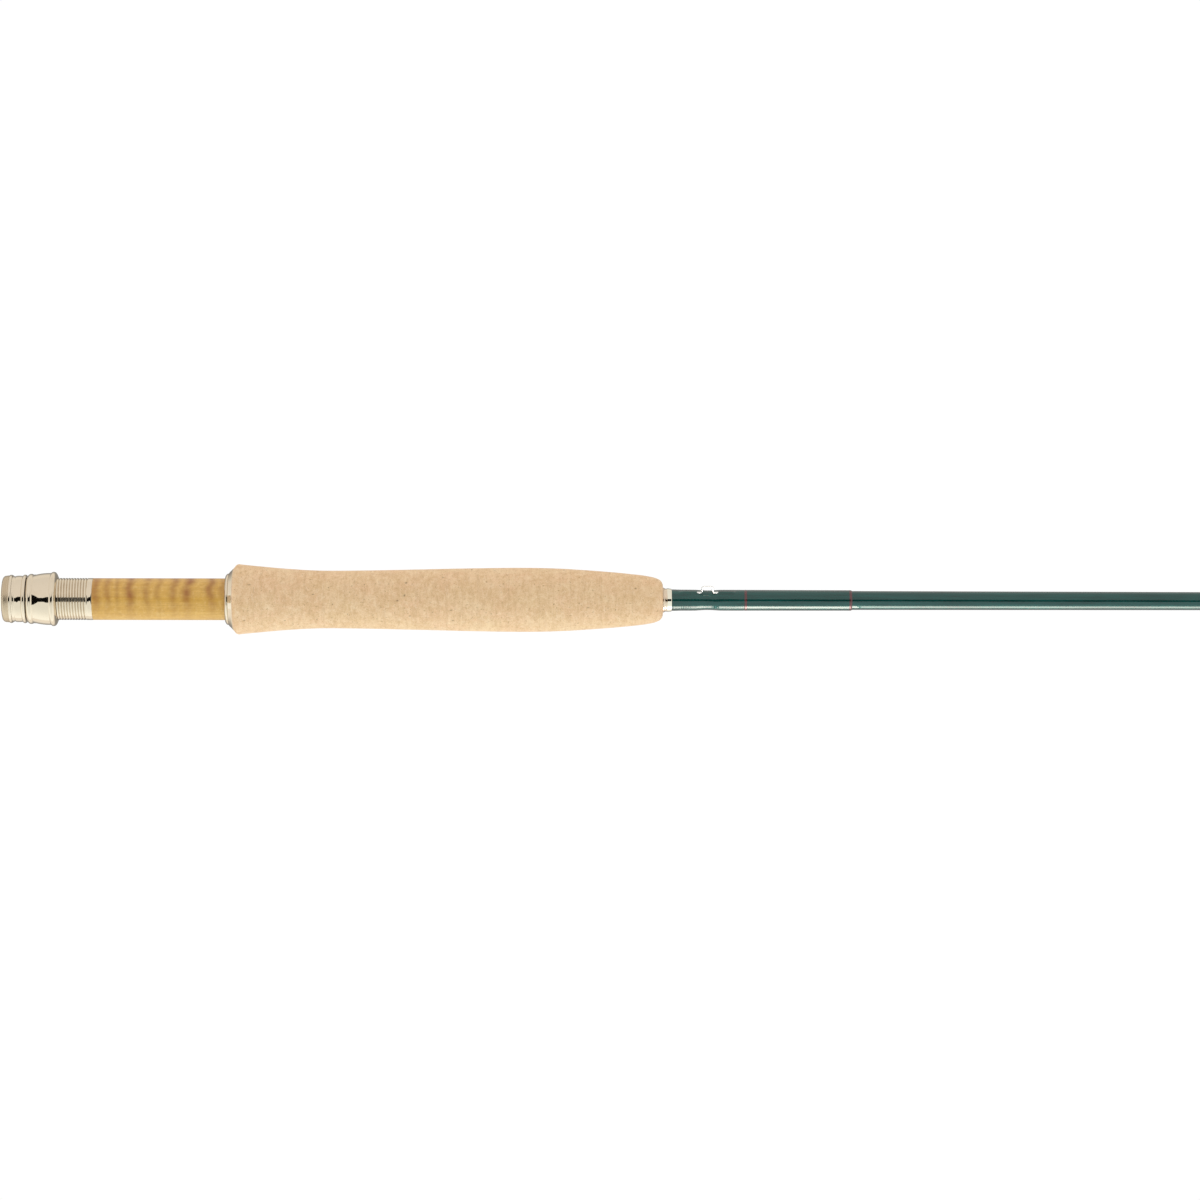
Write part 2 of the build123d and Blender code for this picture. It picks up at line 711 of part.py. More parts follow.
# ---------------------------------------------------------------- snake guides
# one open turn of wire with a foot at each end; seen along the rod it is a full circle
for i, (xc, inner, wire, half) in enumerate(
    zip(SNAKE_X, SNAKE_INNER_R, SNAKE_WIRE_R, SNAKE_HALF), start=1
):
    radius_at = mid_r if xc < TIP_START else tip_r
    ring_r = inner + wire
    foot_z = -(radius_at(xc - half - SNAKE_FOOT) + wire + 0.04)
    centre_z = foot_z - ring_r
    points = [(xc - half - SNAKE_FOOT, 0, foot_z)]
    steps = 12
    for k in range(steps + 1):
        a = 2 * math.pi * k / steps
        points.append(
            (
                xc - half + 2 * half * k / steps,
                ring_r * math.sin(a),
                centre_z + ring_r * math.cos(a),
            )
        )
    points.append((xc + half + SNAKE_FOOT, 0, foot_z))
    with BuildPart() as snake_guide:
        with BuildLine() as snake_path:
            FilletPolyline(*points, radius=[0.75] + [ring_r * 0.88] * (steps - 1) + [0.75])
        with BuildSketch(Plane(snake_path.line @ 0, z_dir=snake_path.line % 0)):
            Circle(wire)
        sweep()
    snake_guide.part.label = f"snake_guide_{i}"
    export_step(snake_guide.part, f"parts/snake_guide_{i}.step")

    with BuildPart() as snake_wraps:
        for sx in (-1, 1):
            near = xc + sx * (half + 1.4)
            far = xc + sx * (half + SNAKE_FOOT + 2.2)
            x0, x1 = min(near, far), max(near, far)
            with BuildSketch():
                with BuildLine():
                    Polyline(
                        (x0, 0),
                        (x0, radius_at(x0) + 0.10),
                        (x0 + 0.4, radius_at(x0) + THREAD_BUILD + 0.02),
                        (x1 - 0.4, radius_at(x1) + THREAD_BUILD + 0.02),
                        (x1, radius_at(x1) + 0.10),
                        (x1, 0),
                        close=True,
                    )
                make_face()
            revolve(axis=Axis.X)
            ridge_end = xc + sx * (half + SNAKE_FOOT + 1.0)
            r0, r1 = min(near + sx * 0.1, ridge_end), max(near + sx * 0.1, ridge_end)
            with BuildSketch(Plane.YZ.offset(r0)):
                with Locations((0, foot_z + 0.1)):
                    Circle(wire + 0.30)
            extrude(amount=r1 - r0)
            f0 = min(xc + sx * (half + 0.2), xc + sx * (half + SNAKE_FOOT + 0.1))
            with BuildSketch(Plane.YZ.offset(f0)):
                with Locations((0, foot_z)):
                    Circle(wire + 0.03)
            extrude(amount=SNAKE_FOOT - 0.1, mode=Mode.SUBTRACT)
        with BuildSketch():
            with BuildLine():
                Polyline(
                    (xc - 16, 0),
                    (xc - 16, radius_at(xc - 16) + 0.02),
                    (xc + 16, radius_at(xc + 16) + 0.02),
                    (xc + 16, 0),
                    close=True,
                )
            make_face()
        revolve(axis=Axis.X, mode=Mode.SUBTRACT)
    snake_wraps.part.label = f"snake_wraps_{i}"
    export_step(snake_wraps.part, f"parts/snake_wraps_{i}.step")

# ---------------------------------------------------------------- tip-top
# tube glued over the tip, two braces, and a ring that the line runs out through
TUBE_R = tip_r(TIP_END) + 0.45
RING_X = ROD_LENGTH - 0.7
RING_Z = -3.95
with BuildPart() as tip_top_tube:
    with BuildSketch():
        with BuildLine():
            Polyline(
                (TIP_END - 8, tip_r(TIP_END - 8) + 0.05),
                (TIP_END - 8, TUBE_R - 0.15),
                (TIP_END - 7.8, TUBE_R),
                (TIP_END + 0.8, TUBE_R),
                (TIP_END + 1.1, TUBE_R - 0.3),
                (TIP_END + 1.1, 0),
                (TIP_END + 0.05, 0),
                (TIP_END + 0.05, tip_r(TIP_END - 8) + 0.05),
                close=True,
            )
        make_face()
    revolve(axis=Axis.X)
    for sy in (-1, 1):
        with BuildLine() as brace_path:
            FilletPolyline(
                (TIP_END - 3.2, sy * 0.78, -0.95),
                (TIP_END + 2.2, sy * 1.55, -1.35),
                (RING_X, sy * 2.72, RING_Z + 0.55),
                radius=1.2,
            )
        with BuildSketch(Plane(brace_path.line @ 0, z_dir=brace_path.line % 0)):
            Circle(0.36)
        sweep()
    with BuildSketch(Plane.YZ.offset(RING_X - 0.62)):
        with Locations((0, RING_Z)):
            Circle(TIP_RING_R + 1.0)
            Circle(TIP_RING_R + 0.52, mode=Mode.SUBTRACT)
    extrude(amount=1.24)
    with BuildSketch(Plane.YZ.offset(RING_X - 2.0)):
        with Locations((0, RING_Z)):
            Circle(TIP_RING_R + 0.52)
    extrude(amount=4.0, mode=Mode.SUBTRACT)
tip_top_tube.part.label = "tip_top_tube"
export_step(tip_top_tube.part, "parts/tip_top_tube.step")

with BuildPart() as tip_top_ring:
    with BuildSketch(Plane.XZ):
        with BuildLine():
            Polyline(
                (RING_X - 0.62, RING_Z + TIP_RING_R + 0.50),
                (RING_X - 0.62, RING_Z + TIP_RING_R + 0.20),
                (RING_X - 0.42, RING_Z + TIP_RING_R),
                (RING_X + 0.42, RING_Z + TIP_RING_R),
                (RING_X + 0.62, RING_Z + TIP_RING_R + 0.20),
                (RING_X + 0.62, RING_Z + TIP_RING_R + 0.50),
                close=True,
            )
        make_face()
    revolve(axis=Axis((RING_X, 0, RING_Z), (1, 0, 0)))
tip_top_ring.part.label = "tip_top_ring"
export_step(tip_top_ring.part, "parts/tip_top_ring.step")

with BuildPart() as tip_top_wrap:
    with BuildSketch():
        with BuildLine():
            Polyline(
                (TIP_END - 15.0, tip_r(TIP_END - 15.0) + 0.02),
                (TIP_END - 14.6, tip_r(TIP_END - 14.6) + THREAD_BUILD),
                (TIP_END - 8.4, TUBE_R - 0.02),
                (TIP_END - 8.05, TUBE_R - 0.10),
                (TIP_END - 8.05, tip_r(TIP_END - 8.05) + 0.02),
                close=True,
            )
        make_face()
    revolve(axis=Axis.X)
tip_top_wrap.part.label = "tip_top_wrap"
export_step(tip_top_wrap.part, "parts/tip_top_wrap.step")
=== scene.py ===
import json
import math

import bpy
import numpy as np
from mathutils import Matrix, Vector


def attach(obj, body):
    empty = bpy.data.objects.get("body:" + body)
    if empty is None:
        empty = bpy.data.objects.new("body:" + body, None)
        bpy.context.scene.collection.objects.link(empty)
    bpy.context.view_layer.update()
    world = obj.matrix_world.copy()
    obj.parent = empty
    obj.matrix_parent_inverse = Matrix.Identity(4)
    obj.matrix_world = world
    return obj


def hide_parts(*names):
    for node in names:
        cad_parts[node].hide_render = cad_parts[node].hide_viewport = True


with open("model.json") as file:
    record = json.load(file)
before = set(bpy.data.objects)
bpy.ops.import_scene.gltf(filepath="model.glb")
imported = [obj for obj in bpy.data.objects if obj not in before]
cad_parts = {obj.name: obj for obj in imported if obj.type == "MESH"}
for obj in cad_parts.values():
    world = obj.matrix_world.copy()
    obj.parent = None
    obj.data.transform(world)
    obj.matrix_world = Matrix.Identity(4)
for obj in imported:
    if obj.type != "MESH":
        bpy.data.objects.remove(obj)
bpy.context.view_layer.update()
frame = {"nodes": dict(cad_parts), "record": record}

scene = bpy.context.scene
nodes = frame["nodes"]
MM = 0.001
rng = np.random.default_rng(20)


# ------------------------------------------------------------------ camera
# straight down on the rod's plain side; the picture's right is +X and its top is +Y
CAM_X = 0.24667
CAM_D = 1.88
VIEW_W = 0.4962
cam_data = bpy.data.cameras.new("camera")
cam_data.sensor_width = 36.0
cam_data.lens = 36.0 * CAM_D / VIEW_W
cam_data.clip_start = 0.02
cam_data.clip_end = 60.0
cam = bpy.data.objects.new("camera", cam_data)
scene.collection.objects.link(cam)
cam.location = (CAM_X, 0.0, CAM_D)
cam.rotation_euler = (0.0, 0.0, math.radians(0.11))
scene.camera = cam
scene.view_settings.view_transform = "Standard"
scene.view_settings.look = "None"


# ------------------------------------------------------------------ node helpers
class Nodes:
    """Short forms for building a node tree."""

    def __init__(self, tree):
        self.tree = tree
        self.tree.nodes.clear()

    def add(self, kind, **props):
        n = self.tree.nodes.new(kind)
        for k, v in props.items():
            setattr(n, k, v)
        return n

    def link(self, a, b):
        self.tree.links.new(a, b)

    def put(self, socket, value):
        if value is None:
            return
        if hasattr(value, "is_output"):
            self.link(value, socket)
        else:
            socket.default_value = value

    def math(self, op, a, b=None, c=None, clamp=False):
        n = self.add("ShaderNodeMath", operation=op, use_clamp=clamp)
        for i, v in enumerate((a, b, c)):
            self.put(n.inputs[i], v)
        return n.outputs[0]

    def coords(self, scale=(1, 1, 1), loc=(0, 0, 0), rot=(0, 0, 0)):
        tc = self.add("ShaderNodeTexCoord")
        mp = self.add("ShaderNodeMapping")
        self.link(tc.outputs["Object"], mp.inputs["Vector"])
        mp.inputs["Scale"].default_value = scale
        mp.inputs["Location"].default_value = loc
        mp.inputs["Rotation"].default_value = rot
        return mp.outputs[0]

    def noise(self, vec, scale=1.0, detail=3.0, rough=0.55, distort=0.0):
        n = self.add("ShaderNodeTexNoise")
        self.link(vec, n.inputs["Vector"])
        n.inputs["Scale"].default_value = scale
        n.inputs["Detail"].default_value = detail
        n.inputs["Roughness"].default_value = rough
        n.inputs["Distortion"].default_value = distort
        return n.outputs["Fac"]

    def ramp(self, fac, stops, interp="LINEAR"):
        n = self.add("ShaderNodeValToRGB")
        n.color_ramp.interpolation = interp
        el = n.color_ramp.elements
        while len(el) < len(stops):
            el.new(0.5)
        for e, (p, c) in zip(el, stops):
            e.position = p
            e.color = (*c, 1.0) if len(c) == 3 else c
        self.put(n.inputs[0], fac)
        return n.outputs[0]

    def fit(self, v, a, b, c, d, smooth=False):
        n = self.add("ShaderNodeMapRange")
        n.clamp = True
        if smooth:
            n.interpolation_type = "SMOOTHSTEP"
        self.put(n.inputs["Value"], v)
        for k, val in zip(("From Min", "From Max", "To Min", "To Max"), (a, b, c, d)):
            n.inputs[k].default_value = val
        return n.outputs["Result"]

    def mix(self, fac, a, b, blend="MIX"):
        n = self.add("ShaderNodeMix", data_type="RGBA", blend_type=blend)
        n.clamp_factor = True
        self.put(n.inputs[0], fac)
        self.put(n.inputs[6], (*a, 1.0) if isinstance(a, tuple) and len(a) == 3 else a)
        self.put(n.inputs[7], (*b, 1.0) if isinstance(b, tuple) and len(b) == 3 else b)
        return n.outputs[2]

    def bump(self, height, strength, distance, normal=None):
        n = self.add("ShaderNodeBump")
        n.inputs["Strength"].default_value = strength
        n.inputs["Distance"].default_value = distance
        self.link(height, n.inputs["Height"])
        if normal is not None:
            self.link(normal, n.inputs["Normal"])
        return n.outputs[0]

    def attr(self, name):
        n = self.add("ShaderNodeAttribute", attribute_name=name)
        return n.outputs["Fac"]


def material(name):
    m = bpy.data.materials.new(name)
    m.use_nodes = True
    n = Nodes(m.node_tree)
    out = n.add("ShaderNodeOutputMaterial")
    bsdf = n.add("ShaderNodeBsdfPrincipled")
    n.link(bsdf.outputs[0], out.inputs["Surface"])
    return m, n, bsdf


# ------------------------------------------------------------------ materials
def nickel_silver():
    """Polished nickel silver: warm grey, with the fine rings that turning and buffing leave."""
    m, n, b = material("nickel_silver")
    blotch = n.noise(n.coords((260, 260, 260)), 1.0, 4.0, 0.6)
    rings = n.noise(n.coords((9000, 60, 60)), 1.0, 2.0, 0.5)
    fine = n.noise(n.coords((30000, 200, 200)), 1.0, 2.0, 0.6)
    scratch = n.noise(n.coords((500, 2600, 2600), rot=(0.3, 0.2, 0.1)), 1.0, 3.0, 0.7)
    tarnish = n.fit(blotch, 0.50, 0.75, 0.0, 1.0, True)
    col = n.mix(n.math("MULTIPLY", tarnish, 0.45), (0.728, 0.630, 0.488), (0.665, 0.548, 0.400))
    col = n.mix(n.fit(fine, 0.35, 0.65, 0.0, 0.22), col, (0.62, 0.53, 0.39))
    rough = n.math("ADD", n.fit(blotch, 0.3, 0.75, 0.035, 0.075), n.fit(scratch, 0.58, 0.8, 0.0, 0.06))
    # the rounded end of the cap is worn to a satin face
    sep = n.add("ShaderNodeSeparateXYZ")
    n.link(n.coords((1000, 1000, 1000)), sep.inputs[0])
    worn = n.fit(sep.outputs["X"], 2.95, 3.20, 1.0, 0.0, True)
    col = n.mix(n.math("MULTIPLY", worn, n.fit(rings, 0.30, 0.70, 0.45, 1.0)), col, (0.475, 0.366, 0.232))
    # painted shade darkens the grooves of the thread, deepest at the roots
    radius = n.math("SQRT", n.math("ADD", n.math("POWER", sep.outputs["Y"], 2.0), n.math("POWER", sep.outputs["Z"], 2.0)))
    groove_shade = n.math("MULTIPLY", n.fit(radius, 8.42, 8.60, 1.0, 0.0), n.fit(radius, 7.6, 8.0, 0.0, 1.0))
    groove_shade = n.math("MULTIPLY", groove_shade, n.fit(sep.outputs["X"], 35.6, 35.2, 0.0, 1.0))
    col = n.mix(n.math("MULTIPLY", groove_shade, n.fit(blotch, 0.3, 0.7, 0.45, 0.75)), col, (0.42, 0.32, 0.20))
    # a dark ring painted on the thread in the gap between the nut and the hood: painted shadow of the gap
    gap_shadow = n.math("MULTIPLY", n.fit(sep.outputs["X"], 9.60, 9.80, 0.0, 1.0), n.fit(sep.outputs["X"], 10.55, 10.35, 0.0, 1.0))
    gap_shadow = n.math("MULTIPLY", gap_shadow, n.fit(radius, 8.685, 8.70, 1.0, 0.0))
    col = n.mix(n.math("MULTIPLY", gap_shadow, 0.75), col, (0.10, 0.060, 0.030))
    # the winding check: its flange is painted in the cork's colour, a painted reflection of the cork beside it; its
    # sleeve is painted lighter, a painted highlight
    flange_cork_reflection = n.math("MULTIPLY", n.fit(sep.outputs["X"], 272.0, 272.5, 0.0, 1.0), n.fit(sep.outputs["X"], 274.55, 274.25, 0.0, 1.0))
    col = n.mix(n.math("MULTIPLY", flange_cork_reflection, n.fit(blotch, 0.35, 0.65, 0.75, 1.0)), col, (0.715, 0.580, 0.440))
    col = n.mix(n.fit(sep.outputs["X"], 274.30, 274.55, 0.0, 0.9), col, (0.800, 0.770, 0.640))
    rough = n.math("ADD", rough, n.math("MULTIPLY", worn, 0.30))
    n.link(rough, b.inputs["Roughness"])
    n.link(col, b.inputs["Base Color"])
    b.inputs["Metallic"].default_value = 1.0
    bump = n.bump(rings, 0.25, 0.000006)
    bump = n.bump(fine, 0.20, 0.000003, bump)
    n.link(bump, b.inputs["Normal"])
    return m


def guide_metal():
    """Bright drawn wire with faint draw lines along it."""
    m, n, b = material("guide_metal")
    blotch = n.noise(n.coords((900, 900, 900)), 1.0, 3.0, 0.6)
    draw = n.noise(n.coords((400, 9000, 9000)), 1.0, 2.0, 0.6)
    n.link(n.mix(n.fit(blotch, 0.4, 0.7, 0.0, 0.6), (0.94, 0.93, 0.90), (0.84, 0.82, 0.78)), b.inputs["Base Color"])
    n.link(n.math("ADD", n.fit(blotch, 0.3, 0.7, 0.08, 0.16), n.fit(draw, 0.5, 0.8, 0.0, 0.1)), b.inputs["Roughness"])
    b.inputs["Metallic"].default_value = 1.0
    n.link(n.bump(draw, 0.2, 0.000004), b.inputs["Normal"])
    return m


def figured_wood():
    """Varnished figured maple, amber, with cross bands of darker figure and fine grain."""
    m, n, b = material("seat_wood")
    # cross figure: soft dark bands around the insert, broken up from side to side
    warp = n.noise(n.coords((60, 130, 130)), 1.0, 3.0, 0.5)
    sep = n.add("ShaderNodeSeparateXYZ")
    n.link(n.coords((1, 1, 1)), sep.inputs[0])
    x_mm = n.math("MULTIPLY", sep.outputs["X"], 1000.0)
    y_mm = n.math("MULTIPLY", sep.outputs["Y"], 1000.0)
    wx = n.math("ADD", x_mm, n.math("MULTIPLY", n.math("SUBTRACT", warp, 0.5), 4.5))
    bands = None
    for centre, width, weight in (
        (38.9, 1.9, 0.80), (43.6, 1.5, 0.60), (47.6, 1.1, 0.45), (53.3, 2.0, 1.0), (60.3, 1.5, 0.62),
        (64.6, 1.3, 0.50), (71.0, 1.7, 0.72), (76.8, 2.0, 1.0), (86.2, 1.8, 0.80), (90.6, 1.2, 0.40),
    ):
        d = n.math("DIVIDE", n.math("SUBTRACT", wx, centre), width)
        g = n.math("POWER", 2.718, n.math("MULTIPLY", n.math("MULTIPLY", d, d), -1.0))
        g = n.math("MULTIPLY", g, weight)
        bands = g if bands is None else n.math("MAXIMUM", bands, g)
    patch = n.noise(n.coords((90, 210, 210), loc=(3.1, 0.4, 1.7)), 1.0, 3.0, 0.6)
    # the dark figure fades out towards -Y, so the lower side is lighter: painted light on that side
    lit_side_fade = n.fit(y_mm, -6.5, 2.5, 0.20, 1.0, True)
    bands = n.math("MULTIPLY", bands, n.fit(patch, 0.28, 0.58, 0.45, 1.0))
    bands = n.math("MULTIPLY", bands, lit_side_fade)
    # fibre and growth layers along the insert
    fibre = n.noise(n.coords((70, 2400, 2400)), 1.0, 4.0, 0.65, 0.4)
    layer = n.noise(n.coords((16, 420, 420)), 1.0, 3.0, 0.55, 1.2)
    ripple = n.noise(n.coords((900, 260, 260)), 1.0, 2.0, 0.5)
    base = n.ramp(n.fit(layer, 0.30, 0.70, 0.0, 1.0), [(0.0, (0.685, 0.375, 0.054)), (0.5, (0.745, 0.430, 0.080)), (1.0, (0.790, 0.482, 0.110))])
    base = n.mix(n.fit(fibre, 0.42, 0.72, 0.0, 0.36), base, (0.50, 0.255, 0.05))
    base = n.mix(n.fit(ripple, 0.5, 0.75, 0.0, 0.34), base, (0.84, 0.57, 0.19))
    fleck = n.noise(n.coords((520, 760, 760), loc=(6.0, 2.0, 9.0)), 1.0, 4.0, 0.75)
    base = n.mix(n.fit(fleck, 0.50, 0.68, 0.0, 0.45), base, (0.56, 0.29, 0.045))
    base = n.mix(n.fit(fleck, 0.47, 0.30, 0.0, 0.45), base, (0.86, 0.60, 0.21))
    col = n.mix(bands, base, (0.365, 0.128, 0.016))
    knots = n.noise(n.coords((420, 900, 900), loc=(1.0, 7.0, 2.0)), 1.0, 2.0, 0.5)
    col = n.mix(n.fit(knots, 0.72, 0.80, 0.0, 0.5), col, (0.33, 0.13, 0.03))
    n.link(col, b.inputs["Base Color"])
    n.link(n.fit(layer, 0.3, 0.7, 0.42, 0.52), b.inputs["Roughness"])
    b.inputs["Coat Weight"].default_value = 0.36
    b.inputs["Coat Roughness"].default_value = 0.07
    n.link(n.bump(fibre, 0.35, 0.00003), b.inputs["Normal"])
    n.link(n.bump(n.noise(n.coords((500, 500, 500)), 1.0, 2.0, 0.5), 0.15, 0.00002), b.inputs["Coat Normal"])
    return m


def cork():
    """Sanded natural cork: pale tan, ring to ring changes of tone, cells, and dark lenticels."""
    m, n, b = material("cork")
    tone = n.attr("tone")
    pit = n.attr("pit")
    line = n.attr("glue")
    cloud = n.noise(n.coords((150, 110, 110)), 1.0, 4.0, 0.6)
    blush = n.noise(n.coords((75, 130, 130), loc=(9.0, 3.0, 5.0)), 1.0, 3.0, 0.6)
    streak = n.noise(n.coords((780, 150, 150)), 1.0, 4.0, 0.62, 0.8)
    grain = n.noise(n.coords((420, 1100, 1100), loc=(0.3, 0.9, 0.1)), 1.0, 4.0, 0.7, 0.5)
    mottle = n.noise(n.coords((430, 400, 400), loc=(2.0, 6.0, 1.0)), 1.0, 4.0, 0.75)
    cells = n.noise(n.coords((2600, 2600, 2600)), 1.0, 3.0, 0.7)
    speck = n.noise(n.coords((1500, 1150, 1150), loc=(4.0, 2.0, 5.0)), 1.0, 2.0, 0.55)
    dash = n.noise(n.coords((420, 2300, 2300), loc=(7.0, 1.0, 3.0)), 1.0, 2.0, 0.5)
    split = n.noise(n.coords((2600, 330, 330), loc=(5.0, 8.0, 2.0)), 1.0, 2.0, 0.5)
    base = n.ramp(n.fit(n.math("ADD", n.math("MULTIPLY", cloud, 0.65), n.math("MULTIPLY", streak, 0.35)), 0.33, 0.67, 0.0, 1.0),
                  [(0.0, (0.770, 0.510, 0.275)), (0.5, (0.880, 0.622, 0.362)), (1.0, (0.950, 0.710, 0.455))])
    base = n.mix(n.fit(blush, 0.48, 0.66, 0.0, 0.50), base, (0.900, 0.575, 0.350))
    base = n.mix(n.fit(blush, 0.46, 0.30, 0.0, 0.35), base, (0.860, 0.640, 0.345))
    base = n.mix(n.fit(tone, 0.0, 1.0, 0.0, 0.40), base, (0.820, 0.545, 0.310))
    base = n.mix(n.fit(streak, 0.50, 0.70, 0.0, 0.58), base, (0.680, 0.420, 0.205))
    base = n.mix(n.fit(streak, 0.47, 0.30, 0.0, 0.50), base, (0.960, 0.740, 0.500))
    base = n.mix(n.fit(mottle, 0.50, 0.70, 0.0, 0.60), base, (0.690, 0.430, 0.210))
    base = n.mix(n.fit(mottle, 0.47, 0.30, 0.0, 0.55), base, (0.990, 0.780, 0.540))
    base = n.mix(n.fit(grain, 0.54, 0.78, 0.0, 0.42), base, (0.680, 0.420, 0.205))
    base = n.mix(n.fit(cells, 0.50, 0.70, 0.0, 0.40), base, (0.600, 0.355, 0.165))
    base = n.mix(n.fit(cells, 0.48, 0.30, 0.0, 0.40), base, (0.980, 0.790, 0.560))
    base = n.mix(n.fit(speck, 0.65, 0.73, 0.0, 0.65), base, (0.430, 0.225, 0.090))
    base = n.mix(n.fit(dash, 0.70, 0.76, 0.0, 0.50), base, (0.470, 0.235, 0.100))
    base = n.mix(n.fit(split, 0.735, 0.765, 0.0, 0.60), base, (0.400, 0.210, 0.090))
    base = n.mix(n.math("MULTIPLY", line, 0.10), base, (0.45, 0.26, 0.12))
    base = n.mix(n.math("MULTIPLY", pit, 0.85), base, (0.225, 0.105, 0.042))
    n.link(base, b.inputs["Base Color"])
    n.link(n.fit(cells, 0.3, 0.7, 0.66, 0.88), b.inputs["Roughness"])
    b.inputs["Specular IOR Level"].default_value = 0.30
    b.inputs["Sheen Weight"].default_value = 0.12
    b.inputs["Sheen Roughness"].default_value = 0.5
    bump = n.bump(cells, 0.40, 0.00006)
    bump = n.bump(n.math("ADD", streak, n.math("MULTIPLY", grain, 0.6)), 0.25, 0.00008, bump)
    n.link(bump, b.inputs["Normal"])
    return m


def blank_green(name, base=(0.0045, 0.0620, 0.0540), thread=False):
    """Deep green varnished blank. With thread=True, wound thread shows under the varnish."""
    m, n, b = material(name)
    depth = n.noise(n.coords((45, 600, 600)), 1.0, 3.0, 0.6)
    along = n.noise(n.coords((30, 2200, 2200)), 1.0, 3.0, 0.6)
    peel = n.noise(n.coords((220, 520, 520)), 1.0, 2.0, 0.5)
    dust = n.noise(n.coords((1400, 1400, 1400)), 1.0, 2.0, 0.5)
    dark = tuple(c * 0.72 for c in base)
    light = tuple(min(1.0, c * 1.22) for c in base)
    col = n.mix(n.fit(depth, 0.35, 0.65, 0.0, 1.0), dark, light)
    if thread:
        sep = n.add("ShaderNodeSeparateXYZ")
        n.link(n.coords((1, 1, 1)), sep.inputs[0])
        # thread laid 0.16 mm apart, leaning slightly as it winds
        lean = n.math("MULTIPLY", n.math("ADD", sep.outputs["Y"], sep.outputs["Z"]), 0.02)
        phase = n.math("MULTIPLY", n.math("ADD", sep.outputs["X"], lean), 2 * math.pi / 0.00016)
        ridge = n.math("ABSOLUTE", n.math("SINE", n.math("MULTIPLY", phase, 0.5)))
        col = n.mix(n.fit(ridge, 0.0, 0.5, 0.7, 0.0), col, tuple(c * 0.35 for c in base))
        fuzz = n.noise(n.coords((5000, 1500, 1500)), 1.0, 2.0, 0.6)
        col = n.mix(n.fit(fuzz, 0.55, 0.8, 0.0, 0.35), col, tuple(min(1.0, c * 1.8) for c in base))
        n.link(n.bump(ridge, 0.30, 0.00002), b.inputs["Normal"])
    else:
        col = n.mix(n.fit(along, 0.55, 0.8, 0.0, 0.30), col, tuple(c * 0.5 for c in base))
        n.link(n.bump(along, 0.10, 0.00001), b.inputs["Normal"])
    n.link(col, b.inputs["Base Color"])
    n.link(n.fit(depth, 0.3, 0.7, 0.26, 0.34), b.inputs["Roughness"])
    b.inputs["Metallic"].default_value = 0.45
    b.inputs["Specular Tint"].default_value = (0.25, 0.25, 0.25, 1.0)
    b.inputs["Specular IOR Level"].default_value = 0.12
    b.inputs["Coat Weight"].default_value = 1.0
    b.inputs["Coat Roughness"].default_value = 0.02
    b.inputs["Coat IOR"].default_value = 1.52
    coat = n.bump(peel, 0.10, 0.00002)
    coat = n.bump(n.fit(dust, 0.74, 0.80, 0.0, 1.0, True), 0.15, 0.00002, coat)
    n.link(coat, b.inputs["Coat Normal"])
    return m


def ceramic():
    """Polished dark grey guide ring."""
    m, n, b = material("guide_ceramic")
    f = n.noise(n.coords((2500, 2500, 2500)), 1.0, 3.0, 0.6)
    n.link(n.mix(n.fit(f, 0.35, 0.65, 0.0, 1.0), (0.030, 0.030, 0.034), (0.060, 0.060, 0.066)), b.inputs["Base Color"])
    n.link(n.fit(f, 0.3, 0.7, 0.08, 0.18), b.inputs["Roughness"])
    n.link(n.bump(f, 0.08, 0.00001), b.inputs["Normal"])
    return m


def graphite():
    """Dull moulded bushing inside the seat."""
    m, n, b = material("arbor_graphite")
    f = n.noise(n.coords((1800, 1800, 1800)), 1.0, 4.0, 0.7)
    n.link(n.mix(n.fit(f, 0.35, 0.65, 0.0, 1.0), (0.018, 0.018, 0.019), (0.050, 0.050, 0.052)), b.inputs["Base Color"])
    n.link(n.fit(f, 0.3, 0.7, 0.5, 0.7), b.inputs["Roughness"])
    n.link(n.bump(f, 0.3, 0.00003), b.inputs["Normal"])
    return m


M_METAL = nickel_silver()
M_WIRE = guide_metal()
M_WOOD = figured_wood()
M_CORK = cork()
M_BLANK = blank_green("blank_green")
M_COATED = blank_green("clear_coat", base=(0.0050, 0.0640, 0.0550))
M_WRAP = blank_green("wrap_green", base=(0.0060, 0.0680, 0.0580), thread=True)
M_RED = blank_green("trim_red", base=(0.120, 0.040, 0.042), thread=True)
M_CERAMIC = ceramic()
M_ARBOR = graphite()

SLOT_MATERIAL = {
    "nickel_silver": M_METAL,
    "seat_wood": M_WOOD,
    "cork": M_CORK,
    "blank_green": M_BLANK,
    "wrap_green": M_WRAP,
    "trim_red": M_RED,
    "clear_coat": M_COATED,
    "arbor_graphite": M_ARBOR,
    "guide_wire": M_WIRE,
    "guide_ceramic": M_CERAMIC,
}
slot_of = {s["node"]: s["material_slot"] for s in frame["record"]["subparts"]}
for name, obj in nodes.items():
    mat = SLOT_MATERIAL[slot_of[name]]
    if not obj.material_slots:
        obj.data.materials.append(mat)
    for ms in obj.material_slots:
        ms.material = mat


# ------------------------------------------------------------------ mesh helpers
def new_object(name, verts, faces, mat, sharp=32.0, smooth=True):
    me = bpy.data.meshes.new(name)
    me.from_pydata([tuple(v) for v in verts], [], [tuple(int(i) for i in f) for f in faces])
    me.validate()
    me.update()
    me.materials.append(mat)
    me.polygons.foreach_set("use_smooth", [smooth] * len(me.polygons))
    if sharp:
        me.set_sharp_from_angle(angle=math.radians(sharp))
    ob = bpy.data.objects.new(name, me)
    scene.collection.objects.link(ob)
    return ob


